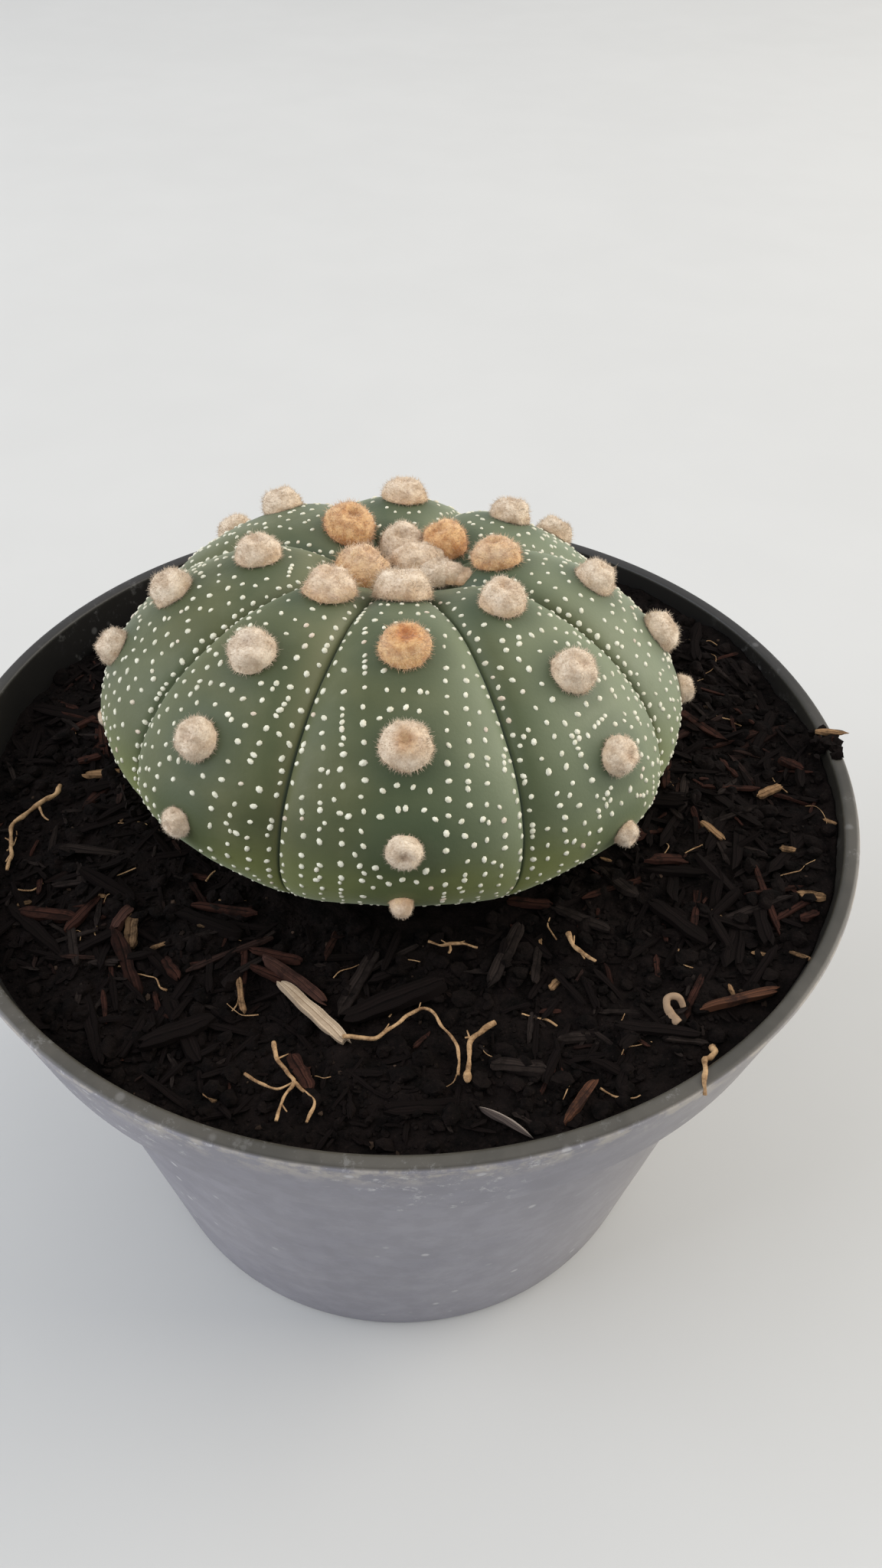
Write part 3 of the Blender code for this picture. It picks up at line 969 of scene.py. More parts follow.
potPlan = {
    "lip": 2.0 * mm,
    "lipRound": 0.62,  # of half the lip
    "collar": 14.6 * mm,
    "collarTaper": 2.9 * mm,
    "step": 3.9 * mm,
    "stepDrop": 1.0 * mm,
    "base": 43.0 * mm,
    "wall": 1.4 * mm,
    "footWidth": 3.0 * mm,
    "footHeight": 2.2 * mm,
    "floor": 1.6 * mm,
    "edge": 0.6 * mm,
    "holes": 6,
    "holeCircle": 27.0 * mm,
    "holeRadius": 3.5 * mm,
    "steps": 192,
    "cleanLip": 0.22 * mm,  # how far the dust stays below the rim
    "dustRings": (0.9, 1.2, 1.6),  # extra rings for its edge, in mm below the rim
}


def potInner(z):
    plan = potPlan
    shoulder = rimHeight - plan["collar"]
    stepFoot = shoulder - plan["stepDrop"]
    lipInner = rimRadius - plan["lip"]
    stepInner = lipInner - plan["collarTaper"]
    neckInner = rimRadius - plan["collarTaper"] - plan["step"] - plan["wall"]
    if z >= shoulder:
        return blendTo(stepInner, lipInner, (z - shoulder) / plan["collar"])
    if z >= stepFoot:
        return blendTo(neckInner, stepInner, (z - stepFoot) / plan["stepDrop"])
    low = plan["footHeight"] + plan["floor"]
    return blendTo(plan["base"] - plan["wall"], neckInner, (z - low) / (stepFoot - low))


def arcPoints(middle, size, start, end, count):
    points = []
    for step in range(count + 1):
        turn = math.radians(blendTo(start, end, step / count))
        points.append((middle[0] + size * math.cos(turn), middle[1] + size * math.sin(turn)))
    return points


def linePoints(first, last, count):
    shares = [step / count for step in range(1, count)]
    return [(blendTo(first[0], last[0], share), blendTo(first[1], last[1], share)) for share in shares]


def potOutline():
    # up the inside, over the lip, down the outside and under the floor
    plan = potPlan
    edge = plan["edge"]
    shoulder = rimHeight - plan["collar"]
    stepFoot = shoulder - plan["stepDrop"]
    floorTop = plan["footHeight"] + plan["floor"]
    collarFoot = rimRadius - plan["collarTaper"]
    neck = collarFoot - plan["step"]
    half = plan["lip"] / 2
    footInner = plan["base"] - plan["footWidth"]
    points = [(0.0, floorTop)]
    points += [(potInner(z), z) for z in (floorTop, stepFoot, shoulder)]
    lipEdge = half * plan["lipRound"]
    points += arcPoints((rimRadius - half * 2 + lipEdge, rimHeight - lipEdge), lipEdge, 180.0, 90.0, 6)
    points += arcPoints((rimRadius - lipEdge, rimHeight - lipEdge), lipEdge, 90.0, 0.0, 6)
    for drop in plan["dustRings"]:
        points.append((rimRadius - plan["collarTaper"] * drop * mm / plan["collar"], rimHeight - drop * mm))
    points += linePoints(points[-1], (collarFoot, shoulder + edge), 8)
    points += arcPoints((collarFoot - edge, shoulder + edge), edge, 0.0, -90.0, 4)
    points += arcPoints((neck + edge, shoulder - edge), edge, 90.0, 180.0, 4)
    points += linePoints(points[-1], (plan["base"], edge * 2), 24)
    points += arcPoints((plan["base"] - edge * 2, edge * 2), edge * 2, 0.0, -90.0, 5)
    points += arcPoints((footInner + edge, edge), edge, -90.0, -180.0, 3)
    points += [(footInner, plan["footHeight"]), (0.0, plan["footHeight"])]
    return points


def spinOutline(points, steps):
    form = bmesh.new()
    verts = [form.verts.new((reach, 0.0, z)) for reach, z in points]
    edges = [form.edges.new(pair) for pair in zip(verts, verts[1:])]
    whole = {"cent": (0, 0, 0), "axis": (0, 0, 1), "angle": math.tau, "use_merge": True}
    bmesh.ops.spin(form, geom=verts + edges, steps=steps, **whole)
    bmesh.ops.remove_doubles(form, verts=form.verts, dist=0.002 * mm)
    bmesh.ops.recalc_face_normals(form, faces=form.faces)
    return form


def cutHoles(pot):
    form = bmesh.new()
    size = potPlan["holeRadius"]
    for hole in range(potPlan["holes"]):
        spot = direction(360.0 * hole / potPlan["holes"]) * potPlan["holeCircle"]
        spot.z = potPlan["footHeight"] + potPlan["floor"] / 2
        plug = {"radius1": size, "radius2": size, "depth": 5.0 * mm, "matrix": Matrix.Translation(spot)}
        bmesh.ops.create_cone(form, cap_ends=True, segments=32, **plug)
    plugs = addObject("plugs", formMesh("plugs", form))
    cut = pot.modifiers.new("holes", "BOOLEAN")
    cut.operation = "DIFFERENCE"
    cut.object = plugs
    cut.solver = "EXACT"
    solid = evaluatedMesh(pot)
    pot.modifiers.clear()
    pot.data = solid
    bpy.data.objects.remove(plugs, do_unlink=True)


def buildPot():
    form = spinOutline(potOutline(), potPlan["steps"])
    (dustAndInnerShadeMark,) = addMarks(form, "dusty")
    clean = potPlan["cleanLip"]
    for vert in form.verts:
        reach = fromAxis(vert.co)
        z = vert.co.z
        # 1 where the outside is dust-covered, -1 down the inside, which is painted in shade
        if reach > potInner(z) + potPlan["wall"] * 0.8 and z > 0.2 * mm:
            vert[dustAndInnerShadeMark] = smoothStep(rimHeight - clean * 0.4, rimHeight - clean * 1.6, z)
        elif reach < potInner(z) + 0.3 * mm:
            vert[dustAndInnerShadeMark] = -smoothStep(rimHeight - 0.2 * mm, rimHeight - 1.0 * mm, z)
    pot = finishPiece("nurseryPot", form, potMaterial(), ("pot",), angle=38)
    cutHoles(pot)


potShades = {
    "clean": ((0.046, 0.042, 0.034), (0.074, 0.067, 0.055)),
    # painted shade: the back of the lip is made darker, as shade and not wear
    "unworn": (0.85, (0.018, 0.017, 0.017)),  # the back of the lip
    # painted shade: the inside of the pot is made near black
    "inside": (0.92, (0.0075, 0.0070, 0.0078)),
    "film": ((0.240, 0.234, 0.264), (0.304, 0.296, 0.326)),
    # painted warm light on the dust film, towards the right
    "warmFilm": (0.55, (0.40, 0.365, 0.315)),  # towards the right
    "lipDust": (0.75, (0.44, 0.40, 0.345)),
    "marks": (0.65, (0.58, 0.57, 0.57)),
}


def potMaterial():
    material, tree, point = startMaterial("greyPlastic", 0.5, 0.4)
    places = placesOf(tree, point)
    dusty = valueOf(tree, "dusty")
    clean = mottled(tree, point, 90.0, *potShades["clean"])
    # painted shade towards the back of the lip
    clean = coat(tree, clean, rampOf(tree, places["Y"], -8.0 * mm, 30.0 * mm), *potShades["unworn"])
    # painted shade down the inside of the pot
    inside = rampOf(tree, mathOf(tree, "SUBTRACT", 0.0, dusty), 0.0, 1.0)
    clean = coat(tree, clean, inside, *potShades["inside"])
    film = mottled(tree, point, 30.0, *potShades["film"])
    # painted light: the film is warmed towards the right side
    film = coat(tree, film, rampOf(tree, places["X"], 8.0 * mm, 52.0 * mm), *potShades["warmFilm"])
    underLip = rampOf(tree, places["Z"], rimHeight - 6.5 * mm, rimHeight - 1.0 * mm)
    patchy = patchesOf(tree, point, 300.0, 6.0, 0.42, 0.60, 0.7)
    film = coat(tree, film, times(tree, underLip, patchy), *potShades["lipDust"])
    cover = mathOf(tree, "ADD", 0.88, times(tree, patchy, 0.12))
    cover = times(tree, mathOf(tree, "MAXIMUM", dusty, 0.0), cover)
    base = mixOf(tree, cover, clean, film)
    zone = patchesOf(tree, point, 45.0, 2.0, 0.46, 0.58)
    nearStep = rampOf(tree, places["Z"], rimHeight - 21.0 * mm, rimHeight - 15.0 * mm)
    scuffs = times(tree, patchesOf(tree, point, 460.0, 8.0, 0.55, 0.63, 0.8), zone)
    scuffs = times(tree, scuffs, mathOf(tree, "ADD", 0.10, times(tree, nearStep, 0.90)))
    cells = addNode(tree, "TexVoronoi", {"Vector": point, "Scale": 240.0, "Randomness": 1.0})
    specks = inverse(tree, rampOf(tree, cells.outputs["Distance"], 0.07, 0.17))
    marks = mathOf(tree, "MAXIMUM", scuffs, times(tree, specks, zone))
    marks = times(tree, marks, mathOf(tree, "MAXIMUM", cover, 0.18))
    return dressed(material, {
        "Base Color": coat(tree, base, marks, *potShades["marks"]),
        "Roughness": rangeOf(tree, cover, 0.38, 0.66),
        "Normal": gritNormal(tree, point, 1500.0, 0.12, 0.1 * mm),
    })


# soil and what lies loose in it

soilPlan = {
    "belowRim": 4.0 * mm,
    "slope": 0.034,
    "rings": 92,
    "steps": 400,
    "innerRing": 22.0 * mm,
    "wallRings": (16.0, 28.0, 60.0, 77.0),  # in mm below the rim
    "lumps": ((11.0 * mm, 1.0 * mm), (4.5 * mm, 0.75 * mm), (2.0 * mm, 0.40 * mm), (0.9 * mm, 0.22 * mm)),
    "crumbs": 1700,
    "crumbSize": (0.35 * mm, 1.25 * mm),
    "grains": 5200,
    "grainSize": (0.16 * mm, 0.42 * mm),
    "shreds": 2000,
    "shredLength": (1.4 * mm, 11.0 * mm),
    "seed": 23,
}


soilReach = potInner(rimHeight - soilPlan["belowRim"])


def soilPlane(x):
    return rimHeight - soilPlan["belowRim"] + soilPlan["slope"] * x


def soilTop(x, y, body):
    # the rough top of the soil, kept under the cactus
    spot = Vector((x, y, 0.0))
    height = soilPlane(x)
    for number, (size, tall) in enumerate(soilPlan["lumps"]):
        height += tall * wobble(spot, size, number * 4.0)
    hit = body.ray_cast(Vector((x, y, 0.2 * rimHeight)), Vector((0.0, 0.0, 1.0)))
    if hit[0] is not None:
        height = min(height, hit[0].z - 0.4 * mm)
    return height


def buildSoil(body):
    plan = soilPlan
    top = rimHeight - plan["belowRim"]
    points = [(plan["innerRing"] * ring / 9, top) for ring in range(9)]
    for ring in range(plan["rings"] + 1):
        points.append((blendTo(plan["innerRing"], soilReach + 0.4 * mm, ring / plan["rings"]), top))
    for low in plan["wallRings"]:
        z = rimHeight - low * mm
        points.append((potInner(z) - 0.1 * mm, z))
    points.append((0.0, points[-1][1]))
    form = spinOutline(points, plan["steps"])
    for vert in form.verts:
        if vert.co.z > top - 1.0 * mm:
            vert.co.z = soilTop(vert.co.x, vert.co.y, body)
    bmesh.ops.recalc_face_normals(form, faces=form.faces)
    finishPiece("pottingSoil", form, soilMaterial(), ("soil",))


def soilPlaces(count, dice, body, inner, margin):
    # loose places on the open soil, none of them inside the cactus
    places = []
    while len(places) < count:
        turn = dice.uniform(0.0, math.tau)
        reach = math.sqrt(dice.uniform(inner ** 2, (soilReach - margin) ** 2))
        x, y = reach * math.cos(turn), reach * math.sin(turn)
        spot = Vector((x, y, soilTop(x, y, body)))
        hit = body.ray_cast(Vector((x, y, 2.0 * rimHeight)), Vector((0.0, 0.0, -1.0)))
        if hit[0] is None or hit[0].z - 2.0 * mm >= spot.z:
            places.append(spot)
    return places


def crumbTemplates(count, segments, rings, seed):
    templates = []
    for version in range(count):
        form = markedForm("tone", "across")
        bmesh.ops.create_uvsphere(form, u_segments=segments, v_segments=rings, radius=1.0)
        for vert in form.verts:
            vert.co *= 1.0 + 0.5 * wobble(vert.co, 0.8, seed + version * 7.0)
            vert.co.z *= 0.7
        templates.append(form)
    return templates


def shredForm(cuts, dice, ragged, twist, wave=0.45, sideCuts=2):
    # a flat strip of wood from -1 to 1 along X, thinner towards ragged ends
    form = bmesh.new()
    bmesh.ops.create_cube(form, size=2.0)
    for axis, count in ((0, cuts), (1, sideCuts)):
        runs = [edge for edge in form.edges if abs(edge.verts[0].co[axis] - edge.verts[1].co[axis]) > 1.0]
        bmesh.ops.subdivide_edges(form, edges=runs, cuts=count, use_grid_fill=True)
    acrossMark, toneMark = addMarks(form, "across", "tone")
    seed = dice.uniform(0.0, 90.0)
    for vert in form.verts:
        along, side = vert.co.x, vert.co.y
        vert[acrossMark] = side
        end = 1.0 - 0.55 * abs(along) ** 7.0
        vert.co.y = side * end + wave * wobble((along, side * 0.5, seed), 0.45)
        vert.co.x = along + ragged * wobble((side * 2.0, seed, along), 0.7) * abs(along) ** 2
        vert.co.z *= 0.45 + 0.55 * end
        vert.co.z += 0.6 * wobble((along, side * 0.4, seed + 9.0), 1.1)
        vert.co = Matrix.Rotation(twist * along, 3, "X") @ vert.co
    return form


def flatSize(length, width):
    # half sizes of a flat bit, from mm
    return (length / 2 * mm, width / 2 * mm, width * 0.22 * mm)


def buildLitter(body):
    # crumbs, grains and shreds that lie loose on the soil
    dice = random.Random(soilPlan["seed"])
    litter = soilMaterial()
    batches = (
        ("soilCrumbs", soilPlan["crumbs"], soilPlan["crumbSize"], 0.94, crumbTemplates(6, 8, 5, 1.0)),
        ("soilGrains", soilPlan["grains"], soilPlan["grainSize"], 1.0, crumbTemplates(4, 5, 3, 50.0)),
    )
    for name, count, sizes, palest, templates in batches:
        form = markedForm("tone", "across")
        for spot in soilPlaces(count, dice, body, 27.0 * mm, 0.8 * mm):
            size = blendTo(*sizes, dice.random() ** 2.2)
            template = templates[dice.randrange(len(templates))]
            setTone(template, dice.random() * palest)
            stretch = (size * dice.uniform(0.8, 1.5), size, size * dice.uniform(0.7, 1.0))
            lean = leaning(dice, 0.3)
            lifted = spot + Vector((0.0, 0.0, size * 0.25))
            appendForm(form, template, placing(lifted, lean, dice.uniform(0, math.tau), stretch))
        finishPiece(name, form, litter, angle=50)
    buildShreds(body, dice)


# bits that stand out: place in mm, heading, length, width and tone
seenBits = (
    (-1, -37.5, 22, 12.5, 2.4, 0.50), (12, -31.5, 64, 9.5, 1.5, 0.92), (15.6, -32.5, 80, 6, 0.9, 0.90),
    (15.5, -23.5, -10, 5.5, 1.3, 0.78), (21.5, -26.5, -32, 7.5, 1.2, 0.90), (-15, -30.5, -20, 6.5, 1.1, 0.77),
    (44.5, -23.5, -85, 10, 0.8, 0.76), (53, 0, -30, 3.2, 1.3, 0.79), (49, -5, 28, 3.8, 1.1, 0.97),
    (49, -15.5, -13, 1.9, 0.8, 1.0), (46.5, -32.5, -28, 2.6, 0.5, 0.98), (42, -32, -13, 2.2, 0.5, 0.97),
    (37.5, -37, -80, 1.7, 0.5, 1.0), (17.5, -35.5, 51, 2, 0.8, 1.0), (-18.5, -36, -78, 4.8, 0.7, 1.0),
    (-20.5, -49, -35, 1.7, 0.6, 1.0), (-11, -46.5, -64, 5, 1.7, 0.78), (40, -12, -54, 4, 0.9, 0.97),
    (50, -23.5, -12, 3.2, 1.1, 0.97), (49, -26.5, 30, 2.6, 1.0, 0.79), (55.5, -11, -40, 1.8, 0.5, 1.0),
    (-32.5, -26.5, -83, 5, 1.5, 0.96), (-41, 1.5, 8, 5, 1.0, 0.98), (-43.5, 4.5, 20, 3, 1.1, 0.78),
    (-39, -23.5, 62, 6, 1.2, 0.77), (-43, -23.5, -6, 7, 1.5, 0.78), (-46.5, -21.5, 25, 1.7, 0.7, 1.0),
    (-29, -28.5, 30, 2.2, 0.5, 1.0), (-37.5, -20.5, 0, 1.5, 0.6, 1.0), (-15, -33.5, -25, 6, 1.0, 0.79),
    (-19.5, -23.5, 35, 2.5, 0.4, 0.79), (-27, -32, -54, 3.6, 1.2, 0.79), (28, -42.5, -4, 9, 1.3, 0.60),
    (33, -27, -50, 9, 1.7, 0.55), (12.5, -46.5, -8, 6, 1.6, 0.86), (-25, -41, 25, 8, 2.0, 0.55),
)


def clearPlaces():
    # what the scattered shreds mustn't cover
    routes = [flat for flat, thick in rootRoutes.values()] + [flat for owner, flat, thick in sideRoots]
    places = [(x * mm, y * mm) for flat in routes for x, y in flat]
    for name in chipLooks:
        low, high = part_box(name)
        places.append(((low.x + high.x) / 2, (low.y + high.y) / 2))
    return places


# bits of the clump on the lip, as the bits above
rimBits = ((59.4, 4.6, 3, 4.4, 0.9, 0.98), (58.6, 3.2, 35, 3.6, 1.0, 0.4), (59.0, 1.2, -70, 3.4, 1.1, 0.5))


def buildRimLitter(form, dice):
    # a clump of dirt with a pale strip that hangs over the lip
    lean = Vector((0.10, 0.0, 1.0)).normalized()
    for x, y, heading, length, width, tone in rimBits:
        template = shredForm(6, dice, 0.3, 0.3, 0.45, 1)
        setTone(template, tone)
        spot = Vector((x * mm, y * mm, rimHeight + 0.25 * mm))
        appendForm(form, template, placing(spot, lean, math.radians(heading), flatSize(length, width)))
    template = shredForm(3, dice, 0.3, 0.3, 0.45, 1)
    for crumb in range(26):
        setTone(template, dice.uniform(0.0, 0.8))
        size = dice.uniform(0.25, 0.7) * mm
        x, y = dice.gauss(58.2, 0.9) * mm, dice.gauss(2.6, 1.7) * mm
        spot = Vector((x, y, rimHeight + dice.uniform(-0.8, 0.25) * mm))
        lean = leaning(dice, 0.5)
        appendForm(form, template, placing(spot, lean, dice.uniform(0.0, math.tau), (size, size, size)))


def buildShreds(body, dice):
    form = markedForm("tone", "across")
    templates = [shredForm(6, dice, 0.3, dice.uniform(-0.5, 0.5), 0.45, 1) for version in range(9)]
    for x, y, heading, length, width, tone in seenBits:
        spot = Vector((x, y, 0.0)) * mm
        spot.z = max(soilTop(spot.x, spot.y, body), soilPlane(spot.x) + 0.3 * mm) + width * 0.3 * mm
        template = shredForm(16, dice, 0.25, dice.uniform(-0.4, 0.4), 0.3)
        setTone(template, tone)
        lean = leaning(dice, 0.05)
        appendForm(form, template, placing(spot, lean, math.radians(heading), flatSize(length, width)))
    clear = clearPlaces()
    for spot in soilPlaces(soilPlan["shreds"], dice, body, 29.0 * mm, 2.5 * mm):
        length = blendTo(*soilPlan["shredLength"], dice.random() ** 2.8) / 2
        width = length * dice.uniform(0.04, 0.15) + 0.10 * mm
        thick = width * dice.uniform(0.25, 0.5)
        template = templates[dice.randrange(len(templates))]
        setTone(template, dice.random() * (0.95 if length > 1.0 * mm else 0.982))
        lean = leaning(dice, 0.16)
        lifted = spot + Vector((0.0, 0.0, thick * 0.7 + 0.15 * mm))
        matrix = placing(lifted, lean, dice.uniform(0.0, math.tau), (length, width, thick))
        covers = any(math.hypot(x - spot.x, y - spot.y) < 0.9 * mm + length * 0.8 for x, y in clear)
        inside = all(fromAxis(matrix @ vert.co) < soilReach - 0.3 * mm for vert in template.verts)
        if inside and not covers:
            appendForm(form, template, matrix)
    buildRimLitter(form, dice)
    finishPiece("soilShreds", form, shredMaterial(), angle=45)


soilShades = {
    "peat": ((0.0024, 0.0018, 0.0016), (0.0088, 0.0060, 0.0053)),
    "fine": (0.5, (0.030, 0.020, 0.016)),
    "pale": (0.55, (0.10, 0.065, 0.045)),
}


def soilMaterial():
    material, tree, point = startMaterial("darkPeat", 0.95, 0.07)
    base = mottled(tree, point, 420.0, *soilShades["peat"])
    base = coat(tree, base, patchesOf(tree, point, 2400.0, 4.0, 0.60, 0.78), *soilShades["fine"])
    base = coat(tree, base, rampOf(tree, valueOf(tree, "tone"), 0.955, 1.0), *soilShades["pale"])
    return dressed(material, {"Base Color": base, "Normal": gritNormal(tree, point, 1900.0, 0.8, 0.4 * mm)})


# each kind of shred: its shades, and the tones between which it takes over
shredKinds = {
    "dark": ((0.0026, 0.0018, 0.0017), (0.0098, 0.0066, 0.0060), 0.0, 0.0),
    "red": ((0.0085, 0.0042, 0.0036), (0.058, 0.024, 0.0170), 0.70, 0.74),
    "grey": ((0.0070, 0.0052, 0.0048), (0.029, 0.0215, 0.0185), 0.80, 0.84),
    "tan": ((0.11, 0.058, 0.028), (0.36, 0.22, 0.115), 0.955, 0.965),
}


shredDirt = (0.72, (0.0060, 0.0044, 0.0038))


def shredMaterial():
    material, tree, point = startMaterial("barkShreds", 0.95, 0.06)
    tone = valueOf(tree, "tone")
    streak = fibresOf(tree, 3.0, 0.6)
    base = None
    for dark, light, low, high in shredKinds.values():
        wood = mixOf(tree, streak["Streak"], dark, light)
        base = mixOf(tree, rampOf(tree, tone, low, high), base, wood) if base else wood
    base = coat(tree, base, patchesOf(tree, point, 520.0, 5.0, 0.44, 0.64, 0.7), *shredDirt)
    return dressed(material, {"Base Color": base, "Normal": streak["Normal"]})


# named chips, each in its own solid's place

chipSeed = 41

chipLooks = {
    # heading, length, width, thickness, arch, twist, finish and a shift in mm
    "wood_splinter": (-46.0, 11.0, 1.6, 0.9, 0.35, 0.12, "paleWood", (0.0, -0.7)),
    "bark_shred": (-40.0, 9.6, 1.35, 0.8, 0.4, 0.35, "brownBark", (-2.0, -0.9)),
    "red_bark_chip": (54.0, 6.2, 1.05, 0.7, 0.3, 0.3, "redBark", (0.4, -1.3)),
    "leaf_sliver": (-33.7, 6.8, 0.85, 0.30, 0.5, 0.5, "greyLeaf", (0.3, -1.7)),
    "bark_stick": (15.5, 9.4, 1.05, 0.9, 0.3, 0.25, "redBark", (0.9, -1.7)),
    "curled_chip": (0.0, 3.2, 1.1, 0.35, 0.0, 0.0, "tanWood", (0.7, -2.6)),
    "left_bark_chip": (72.0, 4.2, 1.4, 0.8, 0.3, 0.3, "brownBark", (0.0, 0.0)),
}

# each finish's dark and light shade, roughness and slot
finishes = {
    "paleWood": ((0.26, 0.185, 0.120), (0.60, 0.475, 0.345), 0.7, "pale_wood"),
    "tanWood": ((0.13, 0.075, 0.040), (0.52, 0.37, 0.245), 0.75, "pale_wood"),
    "brownBark": ((0.016, 0.0065, 0.0050), (0.075, 0.033, 0.023), 0.85, "bark"),
    "redBark": ((0.016, 0.0075, 0.0055), (0.125, 0.050, 0.025), 0.85, "red_bark"),
    "greyLeaf": ((0.018, 0.013, 0.012), (0.085, 0.066, 0.058), 0.7, "grey_leaf"),
}


leafEdge = (0.8, (0.33, 0.27, 0.225))


def chipMaterial(name):
    dark, light, roughness, slot = finishes[name]
    material, tree, point = startMaterial(name, roughness, 0.15)
    streak = fibresOf(tree, 4.5, 0.7)
    base = mixOf(tree, streak["Streak"], dark, light)
    stain = patchesOf(tree, point, 380.0, 5.0, 0.46, 0.64, 0.65)
    base = coat(tree, base, stain, 0.42 if slot == "pale_wood" else 0.85, dark)
    if slot == "grey_leaf":
        base = coat(tree, base, rampOf(tree, valueOf(tree, "across"), 0.45, 0.85), *leafEdge)
    return dressed(material, {"Base Color": base, "Normal": streak["Normal"]})


# the curl's places in mm around its middle
curlRoute = (
    (0.3, -2.3, 0.0), (-0.4, -1.5, 0.1), (-0.9, -0.6, 0.4), (-0.8, 0.3, 0.7),
    (-0.1, 0.6, 0.9), (0.6, 0.3, 0.8), (0.9, -0.5, 0.4),
)


def pieceName(node):
    return node.replace("_", " ").title().replace(" ", "")


def buildChips():
    dice = random.Random(chipSeed)
    materials = {name: chipMaterial(name) for name in finishes}
    level = Matrix.Rotation(-math.atan(soilPlan["slope"]), 4, "Y")
    for name, (heading, length, width, thick, arch, twist, finish, shift) in chipLooks.items():
        low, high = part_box(name)
        middle = (low + high) / 2 + Vector((*shift, 0.0)) * mm
        if name == "curled_chip":
            curl = rootForm([rootMesh([middle + Vector(stop) * mm for stop in curlRoute], 0.50 * mm, 8.0)])
            finishPiece(pieceName(name), curl, materials[finish], (name,))
            continue
        form = shredForm(26, dice, 0.20, twist, 0.26)
        for vert in form.verts:
            along = vert.co.x
            narrow = blendTo(0.78, 1.08, (along + 1.0) / 2)
            if finish == "greyLeaf":
                narrow *= 1.0 - 0.85 * abs(along) ** 2.4
            vert.co = Vector((along * length / 2, vert.co.y * narrow * width / 2, vert.co.z * thick / 2)) * mm
            vert.co.z += arch * mm * (0.5 - along * along)
        turn = level @ Matrix.Rotation(math.radians(heading), 4, "Z")
        bmesh.ops.transform(form, matrix=Matrix.Translation(middle) @ turn, verts=form.verts)
        finishPiece(pieceName(name), form, materials[finish], (name,), angle=50)


# thin roots: places in mm across and towards the back, then thickness

rootRoutes = {
    "long_rootlet": (((-6.6, -41.2), (-4.7, -41.4), (-3.1, -41.6), (-1.5, -40.4), (0.2, -39.0), (1.8, -37.9),
                      (3.2, -38.1), (4.1, -39.9), (5.5, -41.9), (6.1, -43.6), (5.9, -46.4)), 0.23),
    "forked_twig": (((10.1, -40.2), (8.6, -41.3), (7.4, -42.3), (7.2, -43.9), (7.0, -45.6),
                     (6.9, -46.8)), 0.34),
    "front_rootlet": (((-14.1, -43.0), (-13.6, -45.2), (-12.4, -46.8), (-11.5, -48.2), (-12.6, -50.2),
                       (-13.1, -52.6)), 0.26),
    "left_rootlet": (((-46.0, -1.5), (-46.5, -3.8), (-48.0, -4.9), (-49.3, -6.6), (-50.5, -8.6),
                      (-50.6, -10.9), (-49.8, -13.4), (-49.5, -16.8)), 0.33),
    "neck_rootlet": (((3.0, -29.6), (4.6, -30.2), (6.4, -30.0), (8.8, -30.6)), 0.20),
    "right_rootlet": (((19.6, -28.4), (20.0, -30.0), (20.9, -31.4), (22.3, -32.6)), 0.30),
}

# side roots: the root they leave, their places and thickness
sideRoots = (
    ("front_rootlet", ((-11.5, -48.2), (-10.1, -49.5), (-9.2, -50.9), (-9.9, -52.8)), 0.24),
    ("front_rootlet", ((-17.0, -46.9), (-15.4, -48.0), (-13.3, -48.9), (-11.7, -48.1)), 0.17),
    ("neck_rootlet", ((5.5, -30.1), (5.6, -30.8), (5.4, -31.4)), 0.17),
    ("left_rootlet", ((-48.2, -5.0), (-47.4, -6.8), (-46.2, -8.0)), 0.16),
)


rootPlan = {
    "seed": 67,
    "above": 1.2 * mm,  # least height over the level soil, so that they bridge its hollows
    "loose": 64,
    "looseThickness": (0.05, 0.13),  # in mm
    "shades": ((0.17, 0.090, 0.040), (0.52, 0.33, 0.17)),
}

# how far some roots lie further to the front, in mm
rootShift = {"long_rootlet": -1.3, "forked_twig": -1.2, "right_rootlet": -0.6}


def rootBulb(spot, size):
    form = bmesh.new()
    bmesh.ops.create_uvsphere(form, u_segments=12, v_segments=8, radius=size)
    for vert in form.verts:
        vert.co = Vector((vert.co.x * 0.75, vert.co.y * 1.25, vert.co.z * 0.75)) + spot
    return formMesh("bulb", form)


def smoothRoute(route, share):
    # a place along a smooth line through the route's points
    step = min(int(share * (len(route) - 1)), len(route) - 2)
    part = share * (len(route) - 1) - step
    before, first = route[max(step - 1, 0)], route[step]
    last, after = route[step + 1], route[min(step + 2, len(route) - 1)]
    pull = (last - before) * 0.5
    push = (after - first) * 0.5
    square, cube = part * part, part * part * part
    start = first * (2 * cube - 3 * square + 1) + pull * (cube - 2 * square + part)
    return start + last * (3 * square - 2 * cube) + push * (cube - square)


def rootMesh(route, thickness, seed, count=48):
    curve = bpy.data.curves.new("rootCurve", "CURVE")
    curve.dimensions = "3D"
    curve.bevel_depth = thickness
    curve.bevel_resolution = 2
    curve.use_fill_caps = True
    spline = curve.splines.new("POLY")
    spline.points.add(count - 1)
    for index, point in enumerate(spline.points):
        share = index / (count - 1)
        spot = smoothRoute(route, share)
        shake = Vector([wobble(spot, 1.6 * mm, seed + extra) for extra in (0.0, 5.0, 9.0)])
        point.co = (*(spot + shake * thickness * 0.9), 1.0)
        point.radius = (0.72 + 0.55 * wobble(spot, 1.3 * mm, seed + 2.0)) * (1.0 - 0.45 * share) + 0.28
    thing = addObject("rootCurve", curve)
    mesh = evaluatedMesh(thing)
    bpy.data.objects.remove(thing, do_unlink=True)
    return mesh


def rootForm(parts):
    form = bmesh.new()
    for mesh in parts:
        form.from_mesh(mesh)
    bmesh.ops.remove_doubles(form, verts=form.verts, dist=0.004 * mm)
    return form


def layRoute(flat, thickness, body, above):
    # the places of a root that lies on the soil and bridges its hollows
    route = []
    for x, y in flat:
        ground = soilPlane(x * mm) + above
        for left, back in ((0.0, 0.0), (-0.7, 0.0), (0.0, -0.7), (0.7, 0.0), (0.0, 0.7)):
            ground = max(ground, soilTop((x + left) * mm, (y + back) * mm, body))
        route.append(Vector((x * mm, y * mm, ground + thickness)))
    return route


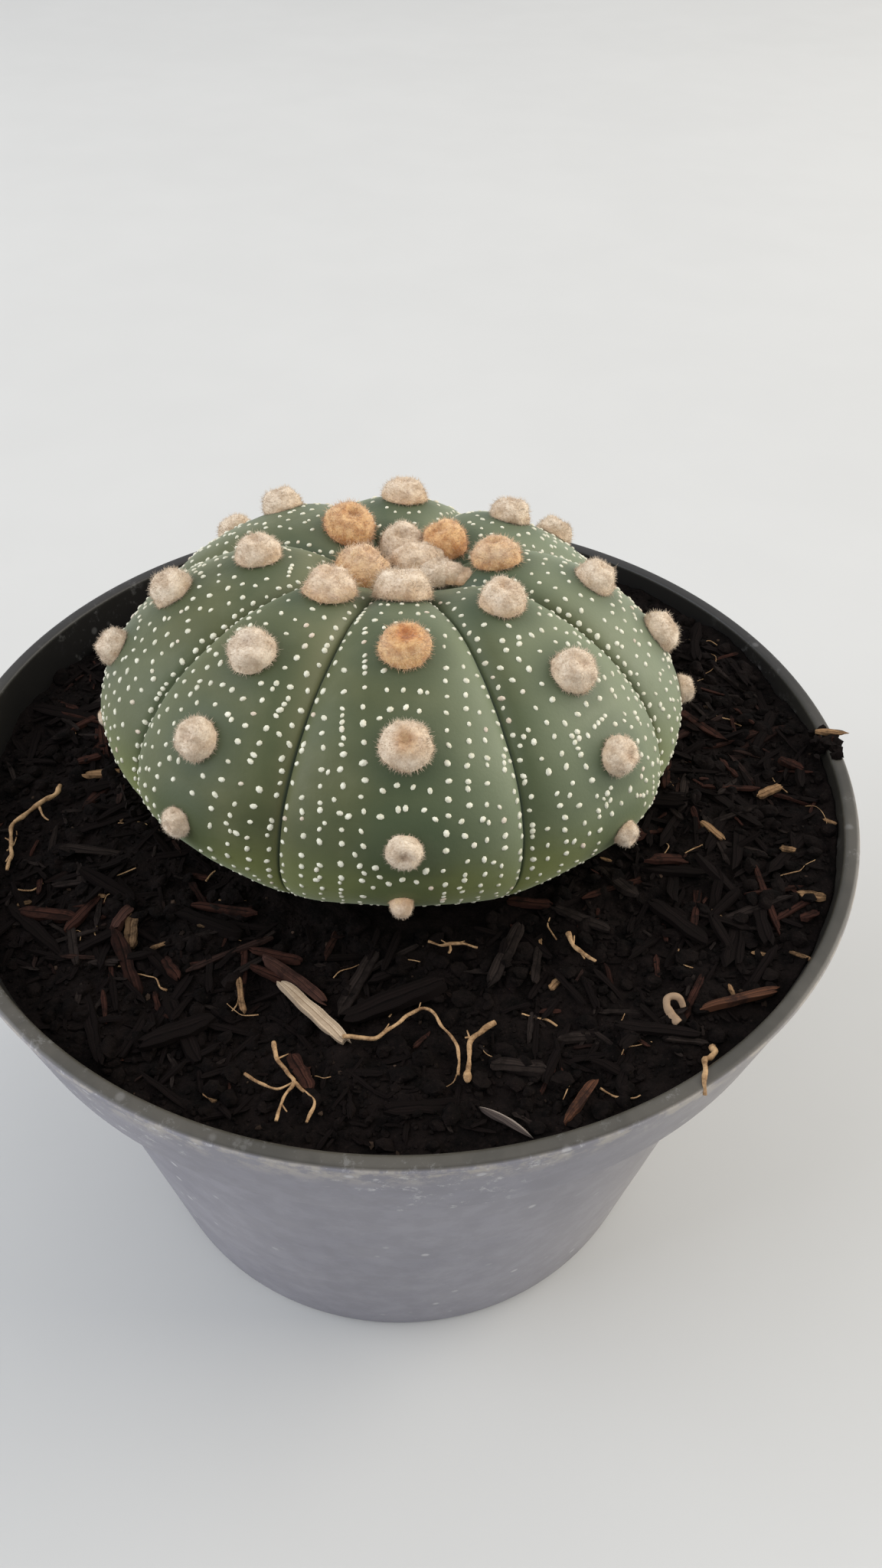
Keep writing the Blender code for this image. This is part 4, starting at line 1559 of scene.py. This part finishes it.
def anyWay(dice):
    # a level direction
    return Vector((dice.uniform(-1, 1), dice.uniform(-1, 1), 0.0)).normalized()


def buildRoots(body):
    dice = random.Random(rootPlan["seed"])
    above = rootPlan["above"]
    material = rootMaterial()
    for number, (name, (flat, thick)) in enumerate(rootRoutes.items()):
        route = layRoute([(x, y + rootShift.get(name, 0.0)) for x, y in flat], thick * mm, body, above)
        parts = [rootMesh(route, thick * mm, number * 3.0, 64)]
        if name == "forked_twig":
            parts.append(rootBulb(route[-1], 0.62 * mm))
        for owner, side, thin in sideRoots:
            if owner == name:
                parts.append(rootMesh(layRoute(side, thin * mm, body, above), thin * mm, number * 5.0, 32))
        for branch in range(2):
            start = smoothRoute(route, dice.uniform(0.2, 0.9))
            aim = anyWay(dice)
            ends = ((0.4, 0.8), (0.9, 1.6))
            twig = [start] + [start + aim * dice.uniform(*reach) * mm for reach in ends]
            parts.append(rootMesh(twig, thick * 0.4 * mm, number + branch, 12))
        finishPiece(pieceName(name), rootForm(parts), material, (name,))
    buildRimRoot(material)
    loose = []
    for spot in soilPlaces(rootPlan["loose"], dice, body, 30.0 * mm, 3.0 * mm):
        aim = anyWay(dice)
        flat = [(spot.x / mm, spot.y / mm)]
        for step in range(dice.randrange(2, 5)):
            aim = Matrix.Rotation(dice.uniform(-0.9, 0.9), 3, "Z") @ aim
            x, y = flat[-1]
            flat.append((x + aim.x * dice.uniform(0.8, 1.8), y + aim.y * dice.uniform(0.8, 1.8)))
        if all(math.hypot(x, y) * mm < soilReach - 1.0 * mm for x, y in flat):
            route = layRoute(flat, 0.1 * mm, body, -0.2 * mm)
            thick = dice.uniform(*rootPlan["looseThickness"]) * mm
            loose.append(rootMesh(route, thick, dice.uniform(0, 50), 14))
    finishPiece("looseRoots", rootForm(loose), material)


# the root across the lip: places in mm and height above the rim
rimStops = (
    (33.9, -44.3, -2.6), (33.8, -45.6, -1.9), (32.6, -46.8, -1.0), (31.9, -48.1, 0.15),
    (31.65, -49.4, 0.36), (31.6, -50.5, 0.24), (31.5, -51.35, -0.8),
)


def buildRimRoot(material):
    # lies straight across the lip, from the soil to just outside
    route = [Vector((x * mm, y * mm, rimHeight + z * mm)) for x, y, z in rimStops]
    finishPiece("RimRootlet", rootForm([rootMesh(route, 0.33 * mm, 3.0)]), material, ("rim_rootlet",))


def rootMaterial():
    material, tree, point = startMaterial("tanRoot", 0.75, 0.25)
    base = mottled(tree, point, 600.0, *rootPlan["shades"])
    return dressed(material, {"Base Color": base, "Normal": gritNormal(tree, point, 2500.0, 0.6, 0.2 * mm)})


print("building the cactus body")
cactus = buildCactus()
cactusTree = bodyTree(cactus)
print("placing the flecks")
buildFlecks(cactus)
print("growing the wool")
buildTufts(cactus)
print("turning the pot")
buildPot()
print("filling the soil")
buildSoil(cactusTree)
buildLitter(cactusTree)
print("laying the chips and roots")
buildChips()
buildRoots(cactusTree)
print("setting the light and camera")
makeStage()
makeCamera()
